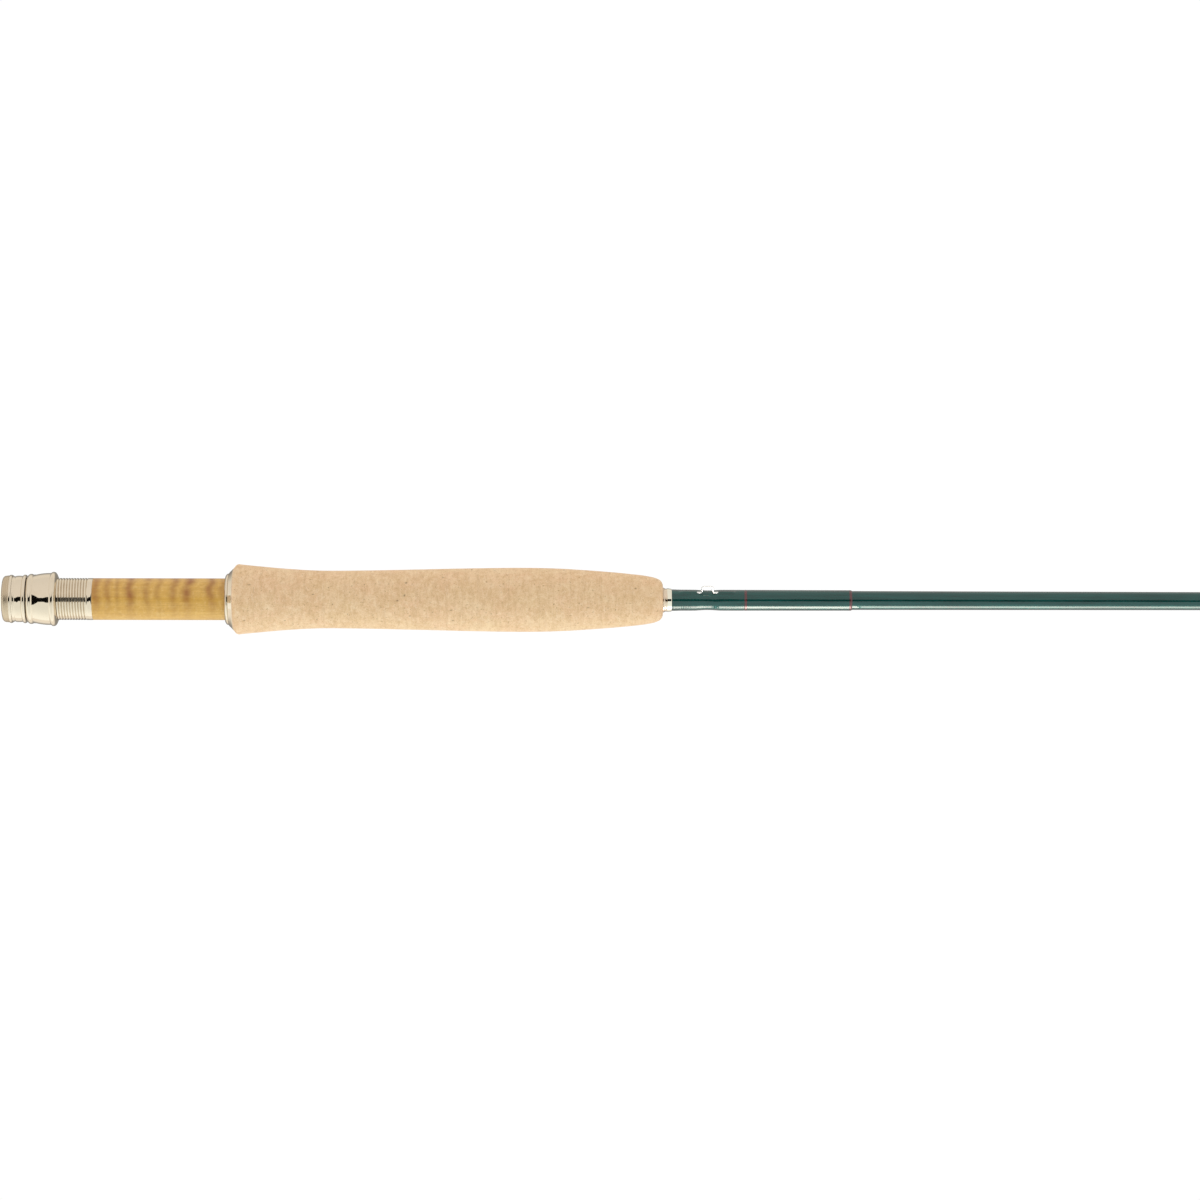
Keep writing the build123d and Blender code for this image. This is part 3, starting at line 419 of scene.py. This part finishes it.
def lathe(name, profile, mat, segs=160, sharp=32.0, start=0.0):
    """Turns a closed (x, r) outline, in mm, about the X axis into a closed mesh."""
    pts = []
    for p in profile:
        if not pts or math.dist(p, pts[-1]) > 1e-6:
            pts.append(p)
    if math.dist(pts[0], pts[-1]) < 1e-6:
        pts.pop()
    ang = start + np.arange(segs) * 2 * math.pi / segs
    cos, sin = np.cos(ang), np.sin(ang)
    verts, index = [], []
    for x, r in pts:
        if r < 1e-6:
            index.append([len(verts)] * segs)
            verts.append((x * MM, 0.0, 0.0))
        else:
            index.append(list(range(len(verts), len(verts) + segs)))
            for c, s in zip(cos, sin):
                verts.append((x * MM, r * s * MM, r * c * MM))
    faces = []
    count = len(pts)
    for i in range(count):
        a, b = index[i], index[(i + 1) % count]
        if a[0] == a[1] and b[0] == b[1]:
            continue
        for k in range(segs):
            k2 = (k + 1) % segs
            quad = [a[k], b[k], b[k2], a[k2]]
            face = []
            for v in quad:
                if v not in face:
                    face.append(v)
            if len(face) > 2:
                faces.append(face)
    # outward normals: the outline must run so that its area is on the inner side
    area = sum(pts[i][0] * pts[(i + 1) % count][1] - pts[(i + 1) % count][0] * pts[i][1] for i in range(count))
    if area < 0:
        faces = [f[::-1] for f in faces]
    ob = new_object(name, verts, faces, mat, sharp)
    return ob


def arc(p0, pm, p1, n=10):
    """Points on the circle through three points, from p0 to p1."""
    (ax, ay), (bx, by), (cx, cy) = p0, pm, p1
    d = 2 * (ax * (by - cy) + bx * (cy - ay) + cx * (ay - by))
    ux = ((ax**2 + ay**2) * (by - cy) + (bx**2 + by**2) * (cy - ay) + (cx**2 + cy**2) * (ay - by)) / d
    uy = ((ax**2 + ay**2) * (cx - bx) + (bx**2 + by**2) * (ax - cx) + (cx**2 + cy**2) * (bx - ax)) / d
    r = math.hypot(ax - ux, ay - uy)
    t0, tm, t1 = (math.atan2(p[1] - uy, p[0] - ux) for p in (p0, pm, p1))

    def unwrap(t, ref):
        while t - ref > math.pi:
            t -= 2 * math.pi
        while t - ref < -math.pi:
            t += 2 * math.pi
        return t

    tm = unwrap(tm, t0)
    t1 = unwrap(t1, tm)
    return [(ux + r * math.cos(t0 + (t1 - t0) * i / n), uy + r * math.sin(t0 + (t1 - t0) * i / n)) for i in range(n + 1)]


def swap(obj, body, slot_name, *replaced):
    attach(obj, body)
    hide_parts(*replaced)


# ------------------------------------------------------------------ blank dimensions, as in the CAD
OD_AT_355, TAPER = 7.80, 0.0024
TAPER_BREAK, TAPER_FRONT = 500.0, 0.003214
MID_START, MID_END, MID_NECK = 791.0, 1647.0, 862.0
TIP_START, TIP_END, TIP_NECK = 1592.0, 2431.0, 1662.0
BUTT_START, BUTT_END = 4.2, 846.0


def butt_r(x):
    near = (OD_AT_355 - TAPER * (min(x, TAPER_BREAK) - 355.0)) / 2
    return near - TAPER_FRONT * max(0.0, x - TAPER_BREAK) / 2


def mid_r(x):
    mouth = butt_r(MID_START) + 0.04 + 0.60
    if x < MID_NECK:
        return mouth + (3.43 - mouth) * (x - MID_START) / (MID_NECK - MID_START)
    return (6.86 + (4.28 - 6.86) * (x - MID_NECK) / (MID_END - MID_NECK)) / 2


def tip_r(x):
    mouth = mid_r(TIP_START) + 0.04 + 0.50
    if x < TIP_NECK:
        return mouth + (2.23 - mouth) * (x - TIP_START) / (TIP_NECK - TIP_START)
    return (4.46 + (1.70 - 4.46) * (x - TIP_NECK) / (TIP_END - TIP_NECK)) / 2


# ------------------------------------------------------------------ blanks: smooth round tubes
def spaced(a, b, step):
    n = max(1, int(round((b - a) / step)))
    return [a + (b - a) * i / n for i in range(n + 1)]


prof = [(x, butt_r(x)) for x in spaced(BUTT_START, TAPER_BREAK, 40.0) + spaced(TAPER_BREAK, BUTT_END - 0.3, 40.0)[1:]]
prof += arc((BUTT_END - 0.3, butt_r(BUTT_END)), (BUTT_END - 0.09, butt_r(BUTT_END) - 0.09), (BUTT_END, butt_r(BUTT_END) - 0.3), 4)
prof += [(BUTT_END, butt_r(BUTT_END) - 0.85), (BUTT_START, butt_r(BUTT_START) - 0.95)]
ob = lathe("butt_blank_tube", prof, M_BLANK, segs=96)
swap(ob, "rod_butt", "blank_green", "butt_blank")

prof = [(MID_START, mid_r(MID_START) - 0.1), (MID_START + 0.1, mid_r(MID_START))]
prof += [(x, mid_r(x)) for x in spaced(MID_START + 6, MID_NECK, 8.0)]
prof += [(x, mid_r(x)) for x in spaced(MID_NECK + 8, MID_END - 0.25, 40.0)]
prof += [(MID_END, mid_r(MID_END) - 0.25), (MID_END, mid_r(MID_END) - 0.70),
         (MID_NECK + 2, mid_r(MID_NECK) - 0.75), (BUTT_END + 2.0, butt_r(BUTT_END) - 0.55),
         (BUTT_END + 1.0, butt_r(BUTT_END) + 0.04), (MID_START, butt_r(MID_START) + 0.04)]
ob = lathe("mid_blank_tube", prof, M_BLANK, segs=80)
swap(ob, "mid_section", "blank_green", "mid_blank")

prof = [(TIP_START, tip_r(TIP_START) - 0.1), (TIP_START + 0.1, tip_r(TIP_START))]
prof += [(x, tip_r(x)) for x in spaced(TIP_START + 6, TIP_NECK, 8.0)]
prof += [(x, tip_r(x)) for x in spaced(TIP_NECK + 8, TIP_END, 40.0)]
prof += [(TIP_END, 0.0), (TIP_END - 60, 0.0), (TIP_END - 60, 0.35), (TIP_NECK + 2, tip_r(TIP_NECK) - 0.62),
         (MID_END + 2.0, mid_r(MID_END) - 0.45), (MID_END + 1.0, mid_r(MID_END) + 0.04), (TIP_START, mid_r(TIP_START) + 0.04)]
ob = lathe("tip_blank_tube", prof, M_BLANK, segs=64)
swap(ob, "tip_section", "blank_green", "tip_blank")


# ------------------------------------------------------------------ reel seat: helical thread on the barrel
def barrel_mesh():
    """The helical thread as a height field over (x, angle), with the sampling following the helix."""
    pitch, major, minor, bore = 1.15, 8.66, 8.36, 7.00
    x_start, x_end, first, last = 4.05, 37.30, 4.35, 35.25
    segs, per = 144, 16
    t = np.linspace(0, 1, per, endpoint=False)

    def groove(u):
        """Radius at a share u of the pitch: crest, flank, root, flank."""
        u = np.mod(u, 1.0)
        d = np.abs(u - 0.5)
        r = np.where(d < 0.12, minor, np.where(d > 0.24, major, minor + (major - minor) * (d - 0.12) / 0.12))
        return r

    n_rows = int(math.ceil((last - first) / pitch)) * per
    ang = np.arange(segs) * 2 * math.pi / segs
    verts, index = [], []

    def add(xs, rs):
        index.append(list(range(len(verts), len(verts) + segs)))
        for j in range(segs):
            verts.append((xs[j] * MM, -rs[j] * math.sin(ang[j]) * MM, rs[j] * math.cos(ang[j]) * MM))

    one = np.ones(segs)
    add(one * x_start, one * bore)
    add(one * x_start, one * (major - 0.3))
    add(one * (x_start + 0.28), one * major)
    grid = np.linspace(first, last, n_rows + 1)
    for x in grid:
        u = x / pitch - ang / (2 * math.pi)
        fade = min(1.0, (x - first) / 0.5, (last - x) / 0.5)
        r = major - (major - groove(u)) * fade
        add(one * x, r)
    add(one * (x_end - 0.12), one * major)
    add(one * x_end, one * (major - 0.12))
    add(one * x_end, one * bore)
    faces = []
    for i in range(len(index)):
        a, b = index[i], index[(i + 1) % len(index)]
        for j in range(segs):
            j2 = (j + 1) % segs
            faces.append((a[j], a[j2], b[j2], b[j]))
    return verts, faces


v, f = barrel_mesh()
ob = new_object("thread_barrel_turned", v, f, M_METAL, sharp=0)
swap(ob, "rod_butt", "nickel_silver", "thread_barrel")

# ------------------------------------------------------------------ cork grip
GRIP_START, RING_W, RINGS = 94.85, 12.7, 14
GRIP_END = GRIP_START + RINGS * RING_W
OUTLINE = np.array([
    (98.2, 14.40), (104.0, 13.84), (112.0, 13.09), (121.0, 12.41), (131.0, 11.94), (141.0, 11.92),
    (152.0, 12.06), (164.0, 12.32), (176.0, 12.57), (189.0, 12.89), (202.0, 13.12), (214.0, 13.23),
    (224.0, 13.12), (234.0, 12.73), (244.0, 12.07), (254.0, 11.29), (262.0, 10.48), (267.0, 9.74),
])


def clamped_spline(xs, ys, s0, s1):
    """Second derivatives of the cubic spline with given end slopes."""
    n = len(xs)
    A, d = np.zeros((n, n)), np.zeros(n)
    h = np.diff(xs)
    A[0, 0], A[0, 1] = 2 * h[0], h[0]
    d[0] = 6 * ((ys[1] - ys[0]) / h[0] - s0)
    A[-1, -1], A[-1, -2] = 2 * h[-1], h[-1]
    d[-1] = 6 * (s1 - (ys[-1] - ys[-2]) / h[-1])
    for i in range(1, n - 1):
        A[i, i - 1], A[i, i], A[i, i + 1] = h[i - 1], 2 * (h[i - 1] + h[i]), h[i]
        d[i] = 6 * ((ys[i + 1] - ys[i]) / h[i] - (ys[i] - ys[i - 1]) / h[i - 1])
    return np.linalg.solve(A, d)


_m2 = clamped_spline(OUTLINE[:, 0], OUTLINE[:, 1], -0.10, -0.22)
CORK_START = 95.22
REAR_ARC = arc((96.10, 13.84), (96.90, 14.41), (98.2, 14.40), 10)
NOSE_ARC = arc((267.0, 9.74), (269.3, 9.24), (271.1, 8.50), 10)
NOSE_ARC += arc((271.1, 8.50), (272.15, 7.45), (GRIP_END, 5.90), 10)[1:]
_table = [(CORK_START, 12.72)] + REAR_ARC
for a in np.arange(98.6, 266.9, 0.4):
    i = min(max(np.searchsorted(OUTLINE[:, 0], a) - 1, 0), len(OUTLINE) - 2)
    x0, x1 = OUTLINE[i, 0], OUTLINE[i + 1, 0]
    h = x1 - x0
    A_, B_ = (x1 - a) / h, (a - x0) / h
    y = A_ * OUTLINE[i, 1] + B_ * OUTLINE[i + 1, 1] + ((A_**3 - A_) * _m2[i] + (B_**3 - B_) * _m2[i + 1]) * h * h / 6
    _table.append((a, y))
_table += NOSE_ARC
_table = np.array(_table)


def grip_r(x):
    return np.interp(x, _table[:, 0], _table[:, 1])


def value_noise(seed, shape, periodic_cols=True):
    """Smooth random field on a grid of rows x cols, made from a few octaves of coarse noise."""
    r = np.random.default_rng(seed)
    rows, cols = shape
    out = np.zeros(shape)
    for (gr, gc, amp) in ((4, 40, 1.0), (9, 90, 0.7), (20, 160, 0.5)):
        coarse = r.standard_normal((gr + 2, gc))
        ri = np.linspace(0, gr, rows)
        ci = np.arange(cols) * gc / cols
        r0 = np.floor(ri).astype(int)
        c0 = np.floor(ci).astype(int)
        fr = (ri - r0)[:, None]
        fc = (ci - c0)[None, :]
        fr = fr * fr * (3 - 2 * fr)
        fc = fc * fc * (3 - 2 * fc)
        r1 = np.minimum(r0 + 1, gr + 1)
        c1 = (c0 + 1) % gc
        c0 = c0 % gc
        out += amp * (
            coarse[np.ix_(r0, c0)] * (1 - fr) * (1 - fc) + coarse[np.ix_(r1, c0)] * fr * (1 - fc)
            + coarse[np.ix_(r0, c1)] * (1 - fr) * fc + coarse[np.ix_(r1, c1)] * fr * fc
        )
    return out / 1.3


TONES = [0.55, 0.20, 0.75, 0.35, 0.60, 0.15, 0.80, 0.30, 0.10, 0.45, 0.25, 0.65, 0.40, 0.70]
# larger pits seen on the plain side: (x mm, angle from +Z towards +Y in degrees, length, width, depth)
NOTED = [
    (102.6, 25.0, 1.5, 0.28, 0.10), (163.4, -2.0, 0.9, 0.55, 0.28), (166.9, 34.0, 0.8, 0.7, 0.22),
    (166.3, 8.0, 0.7, 0.9, 0.28), (145.2, 10.0, 1.1, 0.45, 0.20), (146.0, -11.0, 0.8, 0.4, 0.15),
    (182.0, 46.0, 0.6, 0.6, 0.15), (186.2, -42.0, 1.0, 0.45, 0.2), (185.5, -20.0, 1.1, 0.35, 0.15),
    (241.8, -15.0, 1.2, 0.40, 0.18), (261.3, 27.0, 0.9, 0.5, 0.18), (231.8, 72.0, 0.8, 0.6, 0.2),
    (100.4, -38.0, 0.8, 0.4, 0.18), (128.7, 10.0, 0.8, 0.4, 0.12), (168.5, -33.0, 0.7, 0.5, 0.2),
]

for k in range(RINGS):
    x0, x1 = GRIP_START + k * RING_W, GRIP_START + (k + 1) * RING_W
    segs = 256
    if k == 0:
        x0 = CORK_START
        xs = np.concatenate([[x0], np.array([p[0] for p in REAR_ARC]), np.linspace(98.5, x1, 30)])
    elif k == RINGS - 1:
        xs = np.concatenate([np.linspace(x0, 266.8, 24), np.array([p[0] for p in NOSE_ARC])])
    else:
        xs = np.linspace(x0, x1, 38)
    xs[0], xs[-1] = x0, x1
    rows = len(xs)
    ang = np.arange(segs) * 2 * math.pi / segs
    R = grip_r(xs)[:, None] * np.ones((1, segs))
    field = value_noise(100 + k, (rows, segs))
    disp = 0.012 * field
    pit = np.zeros_like(disp)
    r_ = np.random.default_rng(500 + k)
    pits = [(px, math.radians(pa), pl, pw, pd) for px, pa, pl, pw, pd in NOTED if x0 + 0.6 < px < x1 - 0.6]
    for _ in range(16):
        px = r_.uniform(x0 + 0.8, x1 - 0.8)
        pa = r_.uniform(0, 2 * math.pi)
        front = math.cos(pa) > 0.3
        size = r_.uniform(0.18, 0.42) if front else r_.uniform(0.3, 0.9)
        if r_.random() < 0.5:
            pits.append((px, pa, size * 1.6, size * 0.6, 0.10 + 0.12 * size))
        else:
            pits.append((px, pa, size * 0.7, size * 1.3, 0.10 + 0.12 * size))
    X = xs[:, None] * np.ones((1, segs))
    rr = grip_r(xs)[:, None]
    for px, pa, pl, pw, pd in pits:
        da = np.angle(np.exp(1j * (ang[None, :] - pa)))
        dx = (X - px) / (0.5 * pl)
        dy = da * rr / (0.5 * pw)
        q = dx**2 + dy**2 + 0.25 * field * 0.5
        g = np.exp(-np.clip(q, 0, 40) ** 1.3)
        disp -= pd * g
        pit = np.maximum(pit, g)
    edge = np.minimum(X - x0, x1 - X)
    glue = np.exp(-((edge / 0.16) ** 2))
    if k == 0:
        glue = np.exp(-(((x1 - X) / 0.16) ** 2))
    if k == RINGS - 1:
        glue = np.exp(-(((X - x0) / 0.16) ** 2))
    disp -= 0.006 * glue
    fade = np.clip(np.minimum(np.arange(rows), np.arange(rows)[::-1]), 0, 2)[:, None] / 2.0
    disp = disp * np.where(fade < 1, fade, 1.0) - 0.006 * glue * (1 - fade)
    R = R + disp
    verts, attr_pit, attr_glue = [], [], []
    for i in range(rows):
        for j in range(segs):
            verts.append((xs[i] * MM, R[i, j] * math.sin(ang[j]) * MM, R[i, j] * math.cos(ang[j]) * MM))
    attr_pit += list(pit.ravel())
    attr_glue += list(glue.ravel())
    bore0 = 11.95 if k == 0 else butt_r(x0) + 0.05
    bore1 = 11.95 if k == 0 else butt_r(x1) + 0.05
    base = len(verts)
    for bx, br in ((x1, bore1), (x0, bore0)):
        for j in range(segs):
            verts.append((bx * MM, br * math.sin(ang[j]) * MM, br * math.cos(ang[j]) * MM))
    attr_pit += [0.0] * (2 * segs)
    attr_glue += [0.0] * (2 * segs)
    faces = []
    total = rows + 2
    for i in range(total):
        i2 = (i + 1) % total
        for j in range(segs):
            j2 = (j + 1) % segs
            faces.append((i * segs + j, i2 * segs + j, i2 * segs + j2, i * segs + j2))
    ob = new_object(f"cork_grip_{k + 1:02d}", verts, faces, M_CORK, sharp=45)
    me = ob.data
    for aname, data in (("pit", attr_pit), ("glue", attr_glue), ("tone", [TONES[k]] * len(verts))):
        layer = me.attributes.new(aname, "FLOAT", "POINT")
        layer.data.foreach_set("value", np.array(data, dtype=np.float32))
    swap(ob, "rod_butt", "cork", f"cork_ring_{k + 1:02d}")

# ------------------------------------------------------------------ wrappings over the keeper's feet
# the thread climbs smoothly over the end of each foot and sinks again where the wire comes out
KEEPER_ANGLE = math.radians(43.5)
FOOT_TOP = butt_r(291.05) + 0.42 + 0.06 + 0.42 + 0.08
REAR_WRAP = np.array([
    (276.4, 4.44), (277.5, 4.42), (279.0, 4.37), (280.2, 4.34), (284.6, 4.33), (286.6, 4.28),
    (287.8, 4.19), (288.9, 4.11), (290.0, 4.06), (291.0, 4.05),
])
FRONT_WRAP = np.array([
    (291.1, 4.05), (292.4, 4.06), (293.4, 4.09), (294.3, 4.16), (295.3, 4.24), (296.5, 4.29),
    (298.0, 4.30), (305.6, 4.30), (306.3, 4.26),
])


def smoothstep(x, a, b):
    t = np.clip((x - a) / (b - a), 0.0, 1.0)
    return t * t * (3 - 2 * t)


def wrap_mesh(outline, up0, up1, down0, down1):
    segs, step = 288, 0.10
    x0, x1 = outline[0, 0], outline[-1, 0]
    xs = np.linspace(x0, x1, int(round((x1 - x0) / step)) + 1)
    base = np.interp(xs, outline[:, 0], outline[:, 1])
    for _ in range(6):
        base[1:-1] = 0.25 * base[:-2] + 0.5 * base[1:-1] + 0.25 * base[2:]
    ang = np.arange(segs) * 2 * math.pi / segs
    off = np.angle(np.exp(1j * (ang - KEEPER_ANGLE)))
    across = np.exp(-((4.4 * np.sin(np.clip(off, -math.pi / 2, math.pi / 2)) / 1.15) ** 2))
    along = smoothstep(xs, up0, up1) * (1.0 - smoothstep(xs, down0, down1))
    R = base[:, None] + np.maximum(FOOT_TOP - base, 0.0)[:, None] * along[:, None] * across[None, :]
    # a trace of unevenness from one turn of thread to the next
    R += 0.006 * np.sin(xs * 2 * math.pi / 0.9)[:, None] * np.cos(ang * 3)[None, :]
    verts = [(xs[i] * MM, R[i, j] * math.sin(ang[j]) * MM, R[i, j] * math.cos(ang[j]) * MM)
             for i in range(len(xs)) for j in range(segs)]
    for bx in (x1, x0):
        br = butt_r(bx) + 0.02
        verts += [(bx * MM, br * math.sin(a) * MM, br * math.cos(a) * MM) for a in ang]
    total = len(xs) + 2
    faces = []
    for i in range(total):
        i2 = (i + 1) % total
        for j in range(segs):
            j2 = (j + 1) % segs
            faces.append((i * segs + j, i2 * segs + j, i2 * segs + j2, i * segs + j2))
    return verts, faces


for name, outline, ramp in (
    ("keeper_wrap_rear", REAR_WRAP, (278.6, 281.2, 286.2, 288.3)),
    ("keeper_wrap_front", FRONT_WRAP, (293.9, 295.9, 300.9, 303.5)),
):
    v, f = wrap_mesh(outline, *ramp)
    ob = new_object(name + "_wound", v, f, M_WRAP, sharp=45)
    swap(ob, "rod_butt", "wrap_green", name)

# ------------------------------------------------------------------ stage: pale floor, soft studio light
floor_mesh = bpy.data.meshes.new("studio_floor")
floor_mesh.from_pydata([(-0.7, -0.42, -0.16), (3.1, -0.42, -0.16), (3.1, 0.42, -0.16), (-0.7, 0.42, -0.16)], [], [(0, 1, 2, 3)])
floor = bpy.data.objects.new("studio_floor", floor_mesh)
scene.collection.objects.link(floor)
FLOOR_SHADOW_LEVEL = 0.30
fm, fn, fb = material("studio_floor")
floor_nodes = list(fm.node_tree.nodes)
f_noise = fn.noise(fn.coords((3, 3, 3)), 1.0, 2.0, 0.5)
fn.link(fn.mix(f_noise, (0.86, 0.86, 0.86), (0.90, 0.90, 0.90)), fb.inputs["Base Color"])
fb.inputs["Roughness"].default_value = 0.9
fb.inputs["Specular IOR Level"].default_value = 0.1
f_out = [x for x in floor_nodes if x.type == "OUTPUT_MATERIAL"][0]
f_path = fn.add("ShaderNodeLightPath")
f_glow = fn.add("ShaderNodeEmission")
f_glow.inputs["Color"].default_value = (1.0, 1.0, 1.0, 1.0)
f_glow.inputs["Strength"].default_value = 1.02
f_mix = fn.add("ShaderNodeMixShader")
f_dim = fn.add("ShaderNodeEmission")
f_dim.inputs["Color"].default_value = (1.0, 0.97, 0.92, 1.0)
f_sep = fn.add("ShaderNodeSeparateXYZ")
fn.link(fn.coords((1, 1, 1)), f_sep.inputs[0])
f_side = fn.math("ABSOLUTE", f_sep.outputs["Y"])
# seen by the camera the floor is evenly white; in reflections and bounce light it is dimmed under the rod, a painted
# shadow, and a little brighter towards -Y
fn.link(fn.math("MULTIPLY", fn.fit(f_side, 0.05, 0.20, FLOOR_SHADOW_LEVEL, 1.0, True), fn.fit(f_sep.outputs["Y"], -0.2, 0.2, 1.15, 1.0, True)), f_dim.inputs["Strength"])
fn.link(f_path.outputs["Is Camera Ray"], f_mix.inputs[0])
fn.link(f_dim.outputs[0], f_mix.inputs[1])
fn.link(f_glow.outputs[0], f_mix.inputs[2])
fn.link(f_mix.outputs[0], f_out.inputs["Surface"])
floor.data.materials.append(fm)

world = bpy.data.worlds.new("studio")
scene.world = world
world.use_nodes = True
w = Nodes(world.node_tree)
w_out = w.add("ShaderNodeOutputWorld")
w_bg = w.add("ShaderNodeBackground")
w.link(w_bg.outputs[0], w_out.inputs["Surface"])
tc = w.add("ShaderNodeTexCoord")
sep = w.add("ShaderNodeSeparateXYZ")
w.link(tc.outputs["Generated"], sep.inputs[0])
dx, dy, dz = sep.outputs["X"], sep.outputs["Y"], sep.outputs["Z"]
adx = w.math("ABSOLUTE", dx)
# the slot lies a little to -Y over the seat and straight overhead past the grip
ady = w.math("ABSOLUTE", w.math("ADD", dy, w.fit(dx, -0.10, 0.0, 0.07, 0.0)))
# two long overhead soft boxes with a dark slot between them that widens towards its ends
half = w.math("ADD", 0.150, w.fit(adx, 0.41, 0.60, 0.0, 0.30))
half = w.math("ADD", half, w.fit(dx, -0.26, -0.16, 0.0, 0.065, True))
half = w.math("SUBTRACT", half, w.fit(dx, -0.02, 0.03, 0.0, 0.030))
slot_edge = w.math("SUBTRACT", ady, half)
boxes = w.fit(slot_edge, -0.006, 0.006, 0.0, 1.0, True)
high = w.fit(adx, 0.60, 0.66, 1.0, 0.0, True)
dark = w.math("MULTIPLY", w.math("SUBTRACT", 1.0, boxes), high)
dark = w.math("MULTIPLY", dark, w.fit(dz, 0.0, 0.1, 0.0, 1.0))
level = w.math("SUBTRACT", 1.0, w.math("MULTIPLY", dark, 0.995))
# brighter towards -Y, dimmer towards +Y
level = w.math("MULTIPLY", level, w.fit(dy, -0.5, 0.5, 1.10, 1.0, True))
# low light comes in from both sides, more of it from -Y
low = w.fit(dz, 0.85, -0.25, 0.0, 1.0, True)
level = w.math("MULTIPLY", level, w.math("ADD", 1.0, w.math("MULTIPLY", low, w.fit(dy, -0.5, 0.5, 0.31, -0.05, True))))
tint = w.mix(w.fit(dy, -0.5, 0.5, 0.0, 1.0, True), (0.955, 1.0, 1.0), (1.0, 0.975, 0.955))
w.link(tint, w_bg.inputs["Color"])
w.link(level, w_bg.inputs["Strength"])

# low bright panels stand on the -Y side, beside the blank only, strongest beside the clear zone
for k, (x0, x1, radiance) in enumerate(((0.2828, 0.3165, 6.6), (0.3175, 0.371, 9.5), (0.372, 0.64, 5.6))):
    lamp = bpy.data.lights.new(f"side_panel_{k + 1}", "AREA")
    lamp.shape = "RECTANGLE"
    lamp.size, lamp.size_y = x1 - x0, 0.176
    lamp.spread = math.radians(76.0)
    lamp.energy = 4.0 / 5.2 * radiance * lamp.size * lamp.size_y
    lamp.color = (1.0, 0.83, 0.74)
    lo = bpy.data.objects.new(lamp.name, lamp)
    lo.location = ((x0 + x1) / 2, -0.30, 0.014)
    lo.rotation_euler = (math.radians(90), 0.0, 0.0)
    lo.visible_camera = False
    lo.visible_diffuse = False
    scene.collection.objects.link(lo)
